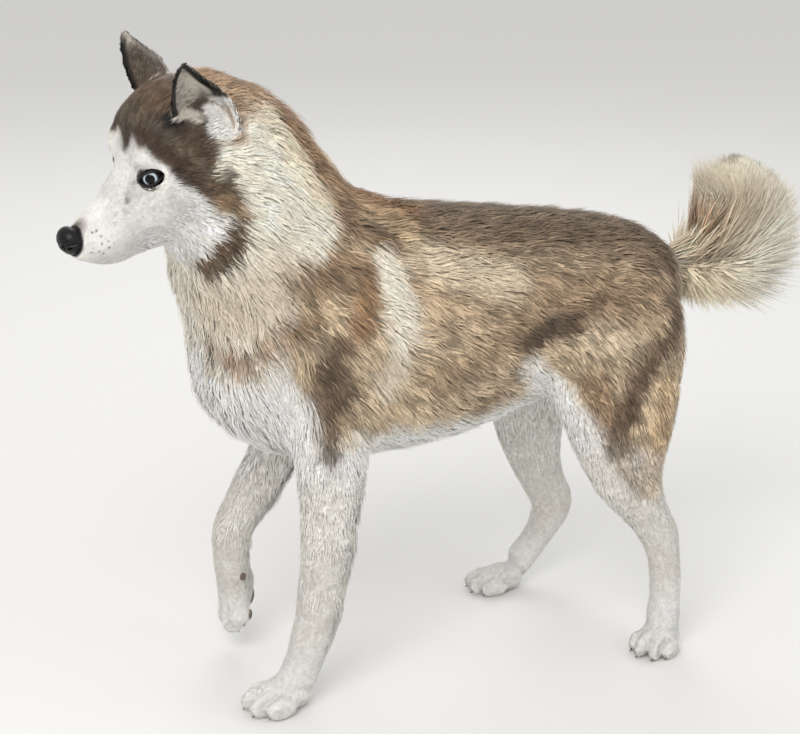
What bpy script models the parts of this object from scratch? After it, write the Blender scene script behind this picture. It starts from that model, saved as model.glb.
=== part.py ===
"""A Siberian husky at life size, standing with its right forefoot lifted, as a still museum model.

Metres, +Z up. The dog faces -X, its left side faces -Y, and the floor is Z = 0.
"""

import math
import random

import bmesh
import bpy
import numpy as np
from mathutils import Matrix, Vector
from mathutils.bvhtree import BVHTree

# Driving dimensions
GAP = 0.0003                 # between two nodes that meet
SOLVER = "MANIFOLD"
BODY_VOXEL = 0.0045
LIMB_VOXEL = 0.0025
HEAD_VOXEL = 0.0020
FACES_BODY = 2530
FACES_LIMB = 650
FACES_HEAD = 2200

# Trunk sections from chest to rump: x, top, widest height, bottom, half width
TRUNK = (
    (-0.316, 0.430, 0.385, 0.345, 0.028),
    (-0.302, 0.478, 0.390, 0.322, 0.062),
    (-0.272, 0.520, 0.400, 0.296, 0.090),
    (-0.230, 0.552, 0.405, 0.276, 0.106),
    (-0.180, 0.566, 0.405, 0.266, 0.114),
    (-0.125, 0.562, 0.400, 0.262, 0.119),
    (-0.060, 0.550, 0.395, 0.265, 0.122),
    (0.000, 0.542, 0.400, 0.276, 0.119),
    (0.060, 0.534, 0.410, 0.296, 0.109),
    (0.120, 0.525, 0.425, 0.314, 0.100),
    (0.180, 0.514, 0.430, 0.330, 0.096),
    (0.228, 0.498, 0.430, 0.345, 0.083),
    (0.258, 0.478, 0.425, 0.365, 0.060),
    (0.272, 0.455, 0.420, 0.385, 0.030),
)
# Neck sections from withers to skull: throat x, z, nape x, z, half width, middle y
NECK = (
    (-0.300, 0.350, -0.060, 0.540, 0.100, 0.000),
    (-0.320, 0.395, -0.115, 0.562, 0.108, 0.000),
    (-0.324, 0.430, -0.152, 0.592, 0.106, -0.002),
    (-0.332, 0.464, -0.180, 0.634, 0.101, -0.006),
    (-0.342, 0.495, -0.209, 0.668, 0.096, -0.011),
    (-0.350, 0.522, -0.247, 0.699, 0.090, -0.017),
    (-0.352, 0.552, -0.290, 0.708, 0.078, -0.022),
    (-0.346, 0.590, -0.318, 0.692, 0.050, -0.026),
)
# The head's own frame: origin at the nose tip, pitched down, turned and tilted a little to the dog's left
NOSE_TIP = Vector((-0.4705, -0.0584, 0.5558))
HEAD_YAW, HEAD_PITCH, HEAD_ROLL = math.radians(11.0), math.radians(24.0), math.radians(6.0)
# Head sections: back from the nose tip, top, widest height, bottom, half width
HEAD = (
    (0.007, -0.004, -0.016, -0.028, 0.0120),
    (0.013, 0.0010, -0.016, -0.0350, 0.0175),
    (0.026, 0.0020, -0.014, -0.0478, 0.0225),
    (0.048, 0.0120, -0.012, -0.0593, 0.0268),
    (0.070, 0.0215, -0.010, -0.0640, 0.0312),
    (0.088, 0.0310, -0.008, -0.0662, 0.0375),
    (0.100, 0.0460, -0.004, -0.0670, 0.0455),
    (0.112, 0.0665, 0.000, -0.0660, 0.0535),
    (0.125, 0.0795, 0.003, -0.0665, 0.0605),
    (0.140, 0.0870, 0.006, -0.0665, 0.0660),
    (0.162, 0.0890, 0.008, -0.0660, 0.0710),
    (0.190, 0.0850, 0.008, -0.0580, 0.0715),
    (0.218, 0.0790, 0.006, -0.0500, 0.0660),
    (0.240, 0.0660, 0.004, -0.0400, 0.0540),
)
# Pushes on the head's skin: back, side, up, reach, then how far back, sideways and up. Both sides take them
HEAD_PUSHES = (
    (0.090, 0.0400, 0.0240, 0.0270, 0.003, -0.0120, -0.001),
    (0.104, 0.0330, 0.0440, 0.0220, -0.0055, 0.0030, 0.003),
    (0.118, 0.0350, 0.0660, 0.0280, -0.0020, 0.0010, 0.002),
    (0.110, 0.0000, 0.0560, 0.0200, 0.001, 0.0000, -0.005),
    (0.060, 0.0250, 0.0040, 0.0230, 0.000, -0.0050, 0.000),
    (0.036, 0.0240, -0.0220, 0.0210, 0.000, 0.0040, 0.000),
    (0.080, 0.0400, -0.0420, 0.0210, 0.000, -0.0050, 0.003),
    (0.138, 0.0640, -0.0080, 0.0320, 0.000, 0.0040, 0.000),
    (0.158, 0.0560, -0.0480, 0.0300, 0.004, 0.0050, -0.005),
)
# Eyes in the head's frame
EYE = (0.1105, 0.0275, 0.0190)
EYE_RADIUS = 0.0122
LID_RADIUS = 0.0149
EYE_OUTWARD = math.radians(50.0)
EYE_UPWARD = math.radians(14.0)
LID_LENGTH, LID_HEIGHT, LID_SLANT = 0.0136, 0.0074, math.radians(7.0)
# Nose leather: middle and radii
NOSE = (0.0108, -0.0085, 0.0115, 0.0158, 0.0145)
NOSTRILS = ((0.0010, 0.0062, -0.0080, 0.0060, 0.0027, 0.0030), (0.0065, 0.0118, -0.0095, 0.0070, 0.0028, 0.0012))
# Line of the mouth: back, side, up
MOUTH_DEPTH, MOUTH_HEIGHT = 0.0032, 0.0007
MOUTH = (
    (0.0080, 0.0000, -0.0300),
    (0.0120, 0.0120, -0.0310),
    (0.0260, 0.0205, -0.0375),
    (0.0480, 0.0250, -0.0430),
    (0.0680, 0.0300, -0.0425),
    (0.0830, 0.0360, -0.0360),
)
# Ear sections from root to tip: front edge back/side/up, rear edge back/side/up, depth of the cup
EAR = (
    (0.1470, 0.0400, 0.0540, 0.1930, 0.0700, 0.0140, 0.0300),
    (0.1470, 0.0430, 0.0680, 0.2010, 0.0740, 0.0380, 0.0280),
    (0.1480, 0.0480, 0.0850, 0.2030, 0.0730, 0.0620, 0.0230),
    (0.1520, 0.0540, 0.1010, 0.1970, 0.0710, 0.0830, 0.0165),
    (0.1580, 0.0600, 0.1150, 0.1860, 0.0690, 0.1020, 0.0100),
    (0.1645, 0.0640, 0.1235, 0.1790, 0.0690, 0.1160, 0.0050),
    (0.1695, 0.0660, 0.1275, 0.1740, 0.0680, 0.1250, 0.0020),
)
EAR_THICK = 0.0048
RIGHT_EAR_SHIFT = (0.0060, 0.0015)     # back and up: this ear is held a little further back
# Leg sections: x, y, z, half depth, half width. The foot follows the last
LEFT_FORE = (
    (-0.175, -0.062, 0.455, 0.058, 0.036),
    (-0.190, -0.076, 0.385, 0.060, 0.043),
    (-0.190, -0.084, 0.310, 0.047, 0.038),
    (-0.192, -0.085, 0.258, 0.0390, 0.0310),
    (-0.195, -0.084, 0.212, 0.0330, 0.0280),
    (-0.198, -0.083, 0.170, 0.0295, 0.0260),
    (-0.204, -0.082, 0.128, 0.0270, 0.0255),
    (-0.211, -0.081, 0.093, 0.0245, 0.0260),
    (-0.222, -0.080, 0.056, 0.0240, 0.0260),
    (-0.232, -0.080, 0.034, 0.0240, 0.0270),
)
RIGHT_FORE = (
    (-0.160, 0.062, 0.455, 0.058, 0.036),
    (-0.168, 0.076, 0.385, 0.058, 0.042),
    (-0.166, 0.083, 0.315, 0.046, 0.037),
    (-0.188, 0.084, 0.262, 0.0360, 0.0310),
    (-0.212, 0.083, 0.222, 0.0310, 0.0280),
    (-0.235, 0.082, 0.186, 0.0270, 0.0260),
    (-0.254, 0.080, 0.155, 0.0240, 0.0255),
    (-0.2575, 0.079, 0.122, 0.0215, 0.0250),
    (-0.2560, 0.078, 0.086, 0.0215, 0.0250),
    (-0.2540, 0.078, 0.064, 0.0220, 0.0260),
)
LEFT_HIND = (
    (0.185, -0.040, 0.470, 0.070, 0.034),
    (0.168, -0.066, 0.410, 0.090, 0.050),
    (0.160, -0.080, 0.352, 0.088, 0.050),
    (0.161, -0.092, 0.303, 0.077, 0.046),
    (0.164, -0.099, 0.258, 0.060, 0.040),
    (0.171, -0.103, 0.221, 0.0450, 0.0330),
    (0.184, -0.105, 0.193, 0.0320, 0.0280),
    (0.199, -0.106, 0.168, 0.0260, 0.0245),
    (0.213, -0.106, 0.143, 0.0245, 0.0230),
    (0.2205, -0.106, 0.112, 0.0200, 0.0210),
    (0.2235, -0.106, 0.080, 0.0195, 0.0210),
    (0.2235, -0.107, 0.050, 0.0215, 0.0235),
    (0.219, -0.109, 0.032, 0.0230, 0.0260),
)
RIGHT_HIND = (
    (0.180, 0.040, 0.470, 0.070, 0.034),
    (0.160, 0.066, 0.410, 0.090, 0.050),
    (0.148, 0.080, 0.352, 0.086, 0.050),
    (0.143, 0.092, 0.303, 0.072, 0.046),
    (0.142, 0.100, 0.256, 0.056, 0.039),
    (0.146, 0.105, 0.212, 0.0440, 0.0330),
    (0.156, 0.108, 0.172, 0.0340, 0.0280),
    (0.168, 0.110, 0.142, 0.0290, 0.0245),
    (0.182, 0.111, 0.110, 0.0280, 0.0230),
    (0.170, 0.112, 0.076, 0.0220, 0.0210),
    (0.151, 0.113, 0.050, 0.0200, 0.0220),
    (0.132, 0.113, 0.034, 0.0210, 0.0250),
)
# Paws: foot point under the pad, turn outward from -X, pitch of the toes down, scale
PAWS = {
    "left_fore": (Vector((-0.247, -0.080, -0.0035)), -10.0, 0.0, 1.00),
    "right_fore": (Vector((-0.2335, 0.078, 0.0700)), 4.0, 74.0, 1.00),
    "left_hind": (Vector((0.214, -0.113, -0.0035)), -38.0, 0.0, 0.90),
    "right_hind": (Vector((0.112, 0.114, -0.0035)), 6.0, 0.0, 0.90),
}
# Paw lobes: forward, sideways, up, then the three radii
PAW_LOBES = (
    (-0.004, 0.000, 0.0220, 0.0310, 0.0265, 0.0210),
    (0.014, 0.000, 0.0200, 0.0240, 0.0250, 0.0180),
    (0.030, -0.0105, 0.0165, 0.0215, 0.0105, 0.0160),
    (0.030, 0.0105, 0.0165, 0.0215, 0.0105, 0.0160),
    (0.017, -0.0245, 0.0150, 0.0205, 0.0100, 0.0145),
    (0.017, 0.0245, 0.0150, 0.0205, 0.0100, 0.0145),
    (-0.012, 0.000, 0.0080, 0.0180, 0.0170, 0.0090),
)
# Tail out to the tips of its hair: centre line x, y, z, radius and half thickness
TAIL = (
    (0.225, 0.000, 0.455, 0.026, 0.026),
    (0.258, 0.000, 0.447, 0.030, 0.030),
    (0.292, 0.000, 0.437, 0.044, 0.040),
    (0.330, 0.000, 0.436, 0.056, 0.050),
    (0.366, 0.000, 0.454, 0.075, 0.056),
    (0.380, 0.000, 0.492, 0.066, 0.054),
    (0.371, 0.000, 0.528, 0.058, 0.046),
    (0.356, 0.000, 0.550, 0.040, 0.030),
    (0.350, 0.000, 0.564, 0.014, 0.012),
)


CENTRE = (-0.01212, -0.00408)       # of the box round the whole dog, which the row's origin sits under
WHITE, BROWN, SANDY = (0.80, 0.77, 0.72), (0.22, 0.17, 0.14), (0.45, 0.37, 0.30)
COLOURS = {"head": (0.55, 0.50, 0.46), "ear": BROWN, "neck": SANDY, "chest": SANDY, "loin": (0.33, 0.27, 0.22),
           "rump": (0.33, 0.27, 0.22), "tail": (0.70, 0.60, 0.46), "nose": (0.02, 0.018, 0.018),
           "eye": (0.42, 0.60, 0.72)}
# Locks of hair
TAIL_CORE = 0.5
TAIL_ROWS, TAIL_ROUND = 6, 7
RUFF_LEVELS = (12, 9, 7, 4)
RUFF_ROUND = 9
# Where the nodes part
HEAD_CUT = ((-0.345, 0.0, 0.508), (-0.194, 0.0, 0.113))
NECK_CUT = ((-0.322, 0.0, 0.395), (-0.185, 0.0, 0.165))
LOIN_CUT = ((0.000, 0.0, 0.400), (1.0, 0.0, 0.0))
RUMP_CUT = ((0.110, 0.0, 0.400), (1.0, 0.0, 0.0))
TAIL_CUT = ((0.305, 0.0, 0.450), (1.0, 0.0, 0.15))
KNEE_CUTS = {"left_fore": 0.200, "right_fore": 0.200, "left_hind": 0.235, "right_hind": 0.235}
ANKLE_CUTS = {"left_fore": 0.052, "right_fore": 0.078, "left_hind": 0.052, "right_hind": 0.052}
UPPER_LEG_BOXES = {
    "left_fore": ((-0.30, -0.20, 0.10), (-0.110, -0.030, 0.285)),
    "right_fore": ((-0.30, 0.030, 0.10), (-0.110, 0.20, 0.285)),
    "left_hind": ((0.062, -0.20, 0.10), (0.35, -0.020, 0.320)),
    "right_hind": ((0.062, 0.020, 0.10), (0.35, 0.20, 0.320)),
}


def clear_scene():
    for thing in list(bpy.data.objects):
        bpy.data.objects.remove(thing, do_unlink=True)


def through(rows, steps):
    """Rows of numbers, with `steps` rows for each gap, on a smooth curve through the given ones."""
    rows = np.array(rows, float)
    ends = np.vstack([2 * rows[0] - rows[1], rows, 2 * rows[-1] - rows[-2]])
    found = []
    for i in range(1, len(ends) - 2):
        a, b, c, d = ends[i - 1 : i + 3]
        for t in np.arange(steps) / steps:
            found.append(0.5 * (2 * b + (c - a) * t + (2 * a - 5 * b + 4 * c - d) * t**2
                                + (3 * b - a - 3 * c + d) * t**3))
    return found + [rows[-1]]


def ring(centre, side, up, half_width, rise, fall, power=2.0, count=28):
    """One oval section: half_width along side, rise above the centre and fall below it."""
    points = []
    for i in range(count):
        angle = 2 * math.pi * i / count
        across = math.copysign(abs(math.cos(angle)) ** (2 / power), math.cos(angle))
        along = math.copysign(abs(math.sin(angle)) ** (2 / power), math.sin(angle))
        points.append(centre + side * (half_width * across) + up * ((rise if along > 0 else fall) * along))
    return points


def loft(name, rings):
    """A closed mesh object through the rings, with a fan at each end."""
    shape = bmesh.new()
    rows = [[shape.verts.new(p) for p in points] for points in rings]
    count = len(rows[0])
    for near, far in zip(rows, rows[1:]):
        for i in range(count):
            j = (i + 1) % count
            shape.faces.new((near[i], near[j], far[j], far[i]))
    for row, turn in ((rows[0], -1), (rows[-1], 1)):
        middle = shape.verts.new(sum((v.co for v in row), Vector()) / count)
        for i in range(count):
            j = (i + 1) % count
            shape.faces.new((row[i], row[j], middle)[::turn])
    bmesh.ops.recalc_face_normals(shape, faces=shape.faces)
    return new_object(name, shape)


def new_object(name, shape):
    mesh = bpy.data.meshes.new(name)
    shape.to_mesh(mesh)
    shape.free()
    thing = bpy.data.objects.new(name, mesh)
    bpy.context.scene.collection.objects.link(thing)
    return thing


def lobe(name, centre, radii, turn=None, segments=16):
    """An ellipsoid."""
    shape = bmesh.new()
    bmesh.ops.create_uvsphere(shape, u_segments=segments, v_segments=segments // 2 + 2, radius=1.0)
    matrix = Matrix.Translation(centre) @ (turn or Matrix.Identity(3)).to_4x4() @ Matrix.Diagonal((*radii, 1.0))
    bmesh.ops.transform(shape, matrix=matrix, verts=shape.verts)
    return new_object(name, shape)


def trunk_loft():
    side, up = Vector((0, 1, 0)), Vector((0, 0, 1))
    rings = []
    for x, top, wide, bottom, half in through(TRUNK, 3):
        rings.append(ring(Vector((x, 0, wide)), side, up, half, top - wide, wide - bottom, 2.1, 36))
    return loft("trunk", rings)


def neck_loft():
    side = Vector((0, 1, 0))
    rings = []
    for tx, tz, nx, nz, half, y in through(NECK, 4):
        throat, nape = Vector((tx, y, tz)), Vector((nx, y, nz))
        reach = (nape - throat).length / 2
        rings.append(ring((throat + nape) / 2, side, (nape - throat).normalized(), half, reach, reach, 2.05, 32))
    return loft("neck_form", rings)


def head_axes():
    """The head's back, side and up directions in the world."""
    turn = Matrix.Rotation(HEAD_YAW, 3, "Z") @ Matrix.Rotation(-HEAD_PITCH, 3, "Y")
    turn = turn @ Matrix.Rotation(HEAD_ROLL, 3, "X")
    return turn @ Vector((1, 0, 0)), turn @ Vector((0, 1, 0)), turn @ Vector((0, 0, 1))


def on_head(back, side, up):
    axes = head_axes()
    return NOSE_TIP + axes[0] * back + axes[1] * side + axes[2] * up


def push_skin(thing, pushes):
    """Moves the skin near each named place on the head, less and less toward the edge of its reach."""
    axes = np.array(head_axes())
    count = len(thing.data.vertices)
    flat = np.empty(count * 3)
    thing.data.vertices.foreach_get("co", flat)
    here = (flat.reshape(-1, 3) - NOSE_TIP) @ axes.T
    for back, side, up, reach, *push in pushes:
        for sign in (-1, 1) if side else (1,):
            far = np.linalg.norm(here - (back, side * sign, up), axis=1) / reach
            fade = np.clip(1 - far**2, 0, 1)[:, None] ** 2
            here += fade * (push[0], push[1] * sign, push[2])
    flat = (here @ axes + NOSE_TIP).reshape(-1)
    thing.data.vertices.foreach_set("co", flat)
    thing.data.update()


def head_loft():
    axes = head_axes()
    rings = []
    for back, top, wide, bottom, half in through(HEAD, 4):
        rings.append(ring(on_head(back, 0, wide), axes[1], axes[2], half, top - wide, wide - bottom, 2.15, 36))
    return loft("head_form", rings)


def leg_loft(name, rows):
    centres = [Vector(row[:3]) for row in rows]
    rings = []
    path = through(rows, 3)
    for i, row in enumerate(path):
        before, after = path[max(i - 1, 0)], path[min(i + 1, len(path) - 1)]
        down = (Vector(after[:3]) - Vector(before[:3])).normalized()
        side = Vector((0, 1, 0))
        side = (side - down * side.dot(down)).normalized()
        front = side.cross(down).normalized()
        rings.append(ring(Vector(row[:3]), side, front, row[4], row[3], row[3], 2.0, 20))
    return loft(name, rings)


def paw_lobes(key):
    place, turn, pitch, scale = PAWS[key]
    frame = Matrix.Rotation(math.radians(180 - turn), 3, "Z") @ Matrix.Rotation(math.radians(pitch), 3, "Y")
    found = []
    for forward, sideways, up, a, b, c in PAW_LOBES:
        centre = place + frame @ Vector((forward, sideways, up)) * scale
        found.append(lobe(f"{key}_lobe", centre, (a * scale, b * scale, c * scale), frame))
    return found


def joined(name, pieces):
    shape = bmesh.new()
    for piece in pieces:
        shape.from_mesh(piece.data)
        bpy.data.objects.remove(piece, do_unlink=True)
    return new_object(name, shape)


def fused(name, pieces, voxel, smooth, faces, pushes=()):
    """The pieces as one closed skin, smoothed and thinned to about this many triangles."""
    thing = joined(name, pieces)
    wrap = thing.modifiers.new("wrap", "REMESH")
    wrap.mode, wrap.voxel_size = "VOXEL", voxel
    even = thing.modifiers.new("even", "SMOOTH")
    even.factor, even.iterations = 0.5, smooth
    bake(thing)
    push_skin(thing, pushes)
    thin = thing.modifiers.new("thin", "DECIMATE")
    thin.ratio = min(1.0, faces / sum(len(f.vertices) - 2 for f in thing.data.polygons))
    bake(thing)
    return thing


def bake(thing):
    """Applies the object's modifiers to its own mesh."""
    bpy.context.view_layer.update()
    graph = bpy.context.evaluated_depsgraph_get()
    mesh = bpy.data.meshes.new_from_object(thing.evaluated_get(graph))
    thing.modifiers.clear()
    thing.data = mesh


def copy_of(thing, name):
    twin = bpy.data.objects.new(name, thing.data.copy())
    bpy.context.scene.collection.objects.link(twin)
    return twin


def cut(thing, other, operation="DIFFERENCE", keep=False):
    change = thing.modifiers.new("cut", "BOOLEAN")
    change.operation, change.solver, change.object = operation, SOLVER, other
    bake(thing)
    if not keep:
        bpy.data.objects.remove(other, do_unlink=True)
    return thing


def swollen(thing, by=GAP):
    """A copy whose skin stands off by this much."""
    twin = copy_of(thing, thing.name + "_swollen")
    grow = twin.modifiers.new("grow", "DISPLACE")
    grow.strength, grow.mid_level = by, 0.0
    bake(twin)
    return twin


def block(low, high):
    shape = bmesh.new()
    bmesh.ops.create_cube(shape, size=1.0)
    for vert in shape.verts:
        vert.co = [low[i] + (vert.co[i] + 0.5) * (high[i] - low[i]) for i in range(3)]
    return new_object("block", shape)


def half_space(point, toward, back=0.0):
    """A block that fills one side of a plane, set back from it."""
    toward = Vector(toward).normalized()
    shape = bmesh.new()
    bmesh.ops.create_cube(shape, size=2.0)
    turn = toward.to_track_quat("X", "Z").to_matrix().to_4x4()
    place = Matrix.Translation(Vector(point) + toward * (1.0 + back))
    bmesh.ops.transform(shape, matrix=place @ turn, verts=shape.verts)
    return new_object("half_space", shape)


def part_off(thing, name, point, toward):
    """Cuts off what lies beyond a plane as a node of its own, with the gap between the two."""
    off = cut(copy_of(thing, name), half_space(point, toward, GAP / 2), "INTERSECT")
    cut(thing, half_space(point, toward, -GAP / 2))
    keep_largest(off)
    keep_largest(thing)
    return off


def box_off(thing, name, low, high):
    """Cuts off what lies in a box as a node of its own, with the gap round it."""
    off = cut(copy_of(thing, name), block(low, high), "INTERSECT")
    wide = block([v - GAP for v in low], [v + GAP for v in high])
    cut(thing, wide)
    keep_largest(off)
    keep_largest(thing)
    return off


def mouth_blade():
    """A thin blade round the muzzle, from one corner of the mouth to the other."""
    half = through(MOUTH, 3)
    path = [(b, -y, u) for b, y, u in reversed(half[1:])] + [tuple(row) for row in half]
    axes = head_axes()
    rings = []
    for back, side, up in path:
        out = axes[0] * min(back - 0.030, 0.0) + axes[1] * side
        out.normalize()
        here = on_head(back, side, up)
        rings.append([here + out * 0.012, here + axes[2] * MOUTH_HEIGHT - out * 0.001,
                      here - out * MOUTH_DEPTH, here - axes[2] * MOUTH_HEIGHT - out * 0.001])
    return loft("mouth_blade", rings)


def make_nose():
    frame = Matrix(head_axes()).transposed()
    nose = lobe("nose", on_head(NOSE[0], 0, NOSE[1]), NOSE[2:], frame, 16)
    for sign in (-1, 1):
        for back, side, up, *radii in NOSTRILS:
            cut(nose, lobe("nostril", on_head(back, side * sign, up), radii, frame, 8))
    return nose


def eye_axis(sign):
    axes = head_axes()
    back = -math.cos(EYE_OUTWARD) * math.cos(EYE_UPWARD)
    side = sign * math.sin(EYE_OUTWARD) * math.cos(EYE_UPWARD)
    return (axes[0] * back + axes[1] * side + axes[2] * math.sin(EYE_UPWARD)).normalized()


def lid_opening(sign):
    """An almond prism along the eye's axis, which opens the lids."""
    axis = eye_axis(sign)
    centre = on_head(EYE[0], EYE[1] * sign, EYE[2])
    level = (head_axes()[2].cross(axis) * sign).normalized()
    upward = level.cross(axis).normalized() * sign
    if upward.dot(head_axes()[2]) < 0:
        upward.negate()
    forward = level if level.dot(head_axes()[0]) < 0 else -level
    across = forward * math.cos(LID_SLANT) - upward * math.sin(LID_SLANT)
    above = upward * math.cos(LID_SLANT) + forward * math.sin(LID_SLANT)
    rings = []
    for reach, grow in ((0.004, 0.92), (0.0115, 1.0), (0.030, 1.5)):
        points = []
        for i in range(20):
            angle = 2 * math.pi * i / 20
            lift = math.copysign(abs(math.sin(angle)) ** 1.25, math.sin(angle))
            lift *= LID_HEIGHT * (1.08 if lift > 0 else 0.86)
            points.append(centre + axis * reach + (across * (LID_LENGTH * math.cos(angle)) + above * lift) * grow)
        rings.append(points)
    return loft("lid_opening", rings)


def make_ear(sign):
    """A cup: the outer skin bows toward the middle of the head, the inner skin follows it."""
    axes = head_axes()
    rings = []
    back, up = RIGHT_EAR_SHIFT if sign > 0 else (0.0, 0.0)
    for row in through(EAR, 2):
        front = on_head(row[0] + back, row[1] * sign, row[2] + up)
        rear = on_head(row[3] + back, row[4] * sign, row[5] + up)
        chord = rear - front
        inward = -axes[1] * sign
        inward = (inward - chord * (inward.dot(chord) / chord.length_squared)).normalized()
        thick = min(EAR_THICK, 0.45 * chord.length)
        points = []
        for side_depth, steps in ((row[6], range(0, 8)), (max(row[6] - thick, -0.2 * thick), range(7, -1, -1))):
            for i in steps:
                t = i / 7
                bow = math.sin(math.pi * t) ** 0.8
                edge = 0.10 if side_depth != row[6] else 0.0
                along = edge + t * (1 - 2 * edge)
                points.append(front + chord * along + inward * (side_depth * bow))
        rings.append(points)
    return loft("left_ear" if sign < 0 else "right_ear", rings)


def lock(name, path, widths, thick, normals):
    """A flat lock of hair: diamond sections along the path, drawn out to a point at its end."""
    shape = bmesh.new()
    rows = []
    for i in range(len(path) - 1):
        along = (path[i + 1] - path[max(i - 1, 0)]).normalized()
        across = along.cross(normals[i]).normalized()
        lift = across.cross(along) * (thick * (widths[i] / widths[0]) ** 0.5)
        points = (path[i] + across * widths[i], path[i] + lift, path[i] - across * widths[i], path[i] - lift)
        rows.append([shape.verts.new(point) for point in points])
    tip = shape.verts.new(path[-1])
    for near, far in zip(rows, rows[1:]):
        for i in range(4):
            shape.faces.new((near[i], near[(i + 1) % 4], far[(i + 1) % 4], far[i]))
    for i in range(4):
        shape.faces.new((rows[-1][i], rows[-1][(i + 1) % 4], tip))
    shape.faces.new(rows[0][::-1])
    bmesh.ops.recalc_face_normals(shape, faces=shape.faces)
    return new_object(name, shape)


def tail_locks():
    """Rows of locks round the tail, each rooted in the core and leaning toward the tail's end."""
    chance = random.Random(15)
    path = [np.array(row) for row in through(TAIL, 10)]
    side = Vector((0, 1, 0))

    def place(where, angle, share):
        row = path[min(max(int(round(where * (len(path) - 1))), 0), len(path) - 1)]
        step = min(int(round(where * (len(path) - 1))), len(path) - 2)
        along = Vector(path[step + 1][:3] - path[step][:3]).normalized()
        out = side * (row[4] * math.cos(angle)) + side.cross(along) * (row[3] * math.sin(angle))
        return Vector(row[:3]) + out * share + along * (max(where - 1, 0) * 0.30), out.normalized()

    found = []
    for level in range(2 * TAIL_ROWS - 1):
        where = 0.30 + 0.70 * level / (2 * TAIL_ROWS - 2)
        if level % 2:
            angles = [math.pi / 2 + turn + chance.uniform(-0.1, 0.1) for turn in (-0.85, 0.0, 0.85)]
        else:
            angles = [2 * math.pi * (i + 0.25 * (level % 4) + chance.uniform(-0.15, 0.15)) / TAIL_ROUND
                      for i in range(TAIL_ROUND)]
        for angle in angles:
            end = where + chance.uniform(-0.02, 0.02)
            steps = [(end - 0.20, 0.26), (end - 0.12, 0.68), (end - 0.05, 0.92), (end, 1.01 + chance.uniform(-0.04, 0.03))]
            spots = [place(at, angle + chance.uniform(-0.05, 0.05), share) for at, share in steps]
            size = (0.0195 + 0.0045 * math.sin(angle)) * (1.0 - 0.3 * where) * chance.uniform(1.05, 1.30)
            widths = (size, size * 0.98, size * 0.74)
            found.append(lock("lock", [spot[0] for spot in spots], widths, 0.0055, [spot[1] for spot in spots]))
    return found


def lie_at(point):
    """The way the hair lies on the neck, chest and hindquarters."""
    if point.x > 0.1:
        return Vector((0.16, 0.0, -1.0)).normalized()
    share = min(max((point.x + 0.33) / 0.17, 0.0), 1.0)
    return Vector((0.10 + 0.75 * share, 0.0, -1.0 + 0.25 * share)).normalized()


def surface_locks(thing, seeds, length, width, rise, sink, seed):
    """Locks that lie along the skin from each seed, sunk at the root and standing off at the tip."""
    chance = random.Random(seed)
    tree = BVHTree.FromObject(thing, bpy.context.evaluated_depsgraph_get())
    found = []
    for spot in seeds:
        here, normal, _, _ = tree.find_nearest(Vector(spot))
        reach = length * chance.uniform(0.85, 1.15)
        sway = chance.uniform(-0.22, 0.22)
        path, normals = [here - normal * sink], [normal]
        for share, off in ((0.36, 0.10), (0.36, 0.55), (0.28, 1.0)):
            lie = lie_at(here)
            lie = (lie - normal * lie.dot(normal)).normalized()
            lie = (lie + normal.cross(lie) * sway).normalized()
            here, normal, _, _ = tree.find_nearest(here + lie * (reach * share))
            path.append(here + normal * (rise * off))
            normals.append(normal)
        size = width * chance.uniform(0.88, 1.15)
        found.append(lock("lock", path, (size, size, size * 0.66), 0.0050, normals))
    return found


def ruff_seeds():
    chance = random.Random(11)
    found = []
    path = through(NECK, 2)
    for level, step in enumerate(RUFF_LEVELS):
        tx, tz, nx, nz, half, y = path[step]
        throat, nape = Vector((tx, y, tz)), Vector((nx, y, nz))
        middle, reach = (throat + nape) / 2, (nape - throat) / 2
        for i in range(RUFF_ROUND):
            angle = 2 * math.pi * (i + 0.5 * (level % 2) + chance.uniform(-0.2, 0.2)) / RUFF_ROUND
            found.append(middle + Vector((0, half * math.sin(angle), 0)) - reach * math.cos(angle))
    return found


def breech_seeds():
    chance = random.Random(6)
    found = []
    for sign in (-1, 1):
        for level in range(3):
            for i in range(3):
                z = 0.420 - 0.045 * level + chance.uniform(-0.006, 0.006)
                found.append(Vector((0.285, sign * (0.030 + 0.032 * i - 0.002 * level), z)))
    return found


def joined_locks(thing, locks):
    """The locks fused with their core in one union. Only the largest closed surface is kept."""
    group = bpy.data.collections.new("locks")
    bpy.context.scene.collection.children.link(group)
    for piece in locks:
        group.objects.link(piece)
        bpy.context.scene.collection.objects.unlink(piece)
    change = thing.modifiers.new("locks", "BOOLEAN")
    change.operation, change.operand_type, change.collection = "UNION", "COLLECTION", group
    change.solver = SOLVER
    bake(thing)
    for piece in locks:
        bpy.data.objects.remove(piece, do_unlink=True)
    bpy.data.collections.remove(group)
    keep_largest(thing)
    return thing


def keep_largest(thing):
    shape = bmesh.new()
    shape.from_mesh(thing.data)
    shape.verts.ensure_lookup_table()
    seen, islands = set(), []
    for start in shape.verts:
        if start.index in seen:
            continue
        island, waiting = [], [start]
        seen.add(start.index)
        while waiting:
            vert = waiting.pop()
            island.append(vert)
            for edge in vert.link_edges:
                other = edge.other_vert(vert)
                if other.index not in seen:
                    seen.add(other.index)
                    waiting.append(other)
        islands.append(island)
    largest = max(islands, key=len)
    for island in islands:
        if island is not largest:
            bmesh.ops.delete(shape, geom=island, context="VERTS")
    shape.to_mesh(thing.data)
    shape.free()


def tail_loft():
    side = Vector((0, 1, 0))
    rings = []
    path = through(TAIL, 3)
    for i, row in enumerate(path):
        along = (Vector(path[min(i + 1, len(path) - 1)][:3]) - Vector(path[max(i - 1, 0)][:3])).normalized()
        share = 1.0 if i < 5 else TAIL_CORE + (1 - TAIL_CORE) * max(0.0, 1 - (i - 4) / 6)
        rings.append(ring(Vector(row[:3]), side, side.cross(along), row[4] * share, row[3] * share,
                          row[3] * share, 2.0, 12))
    return loft("tail", rings)


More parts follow.
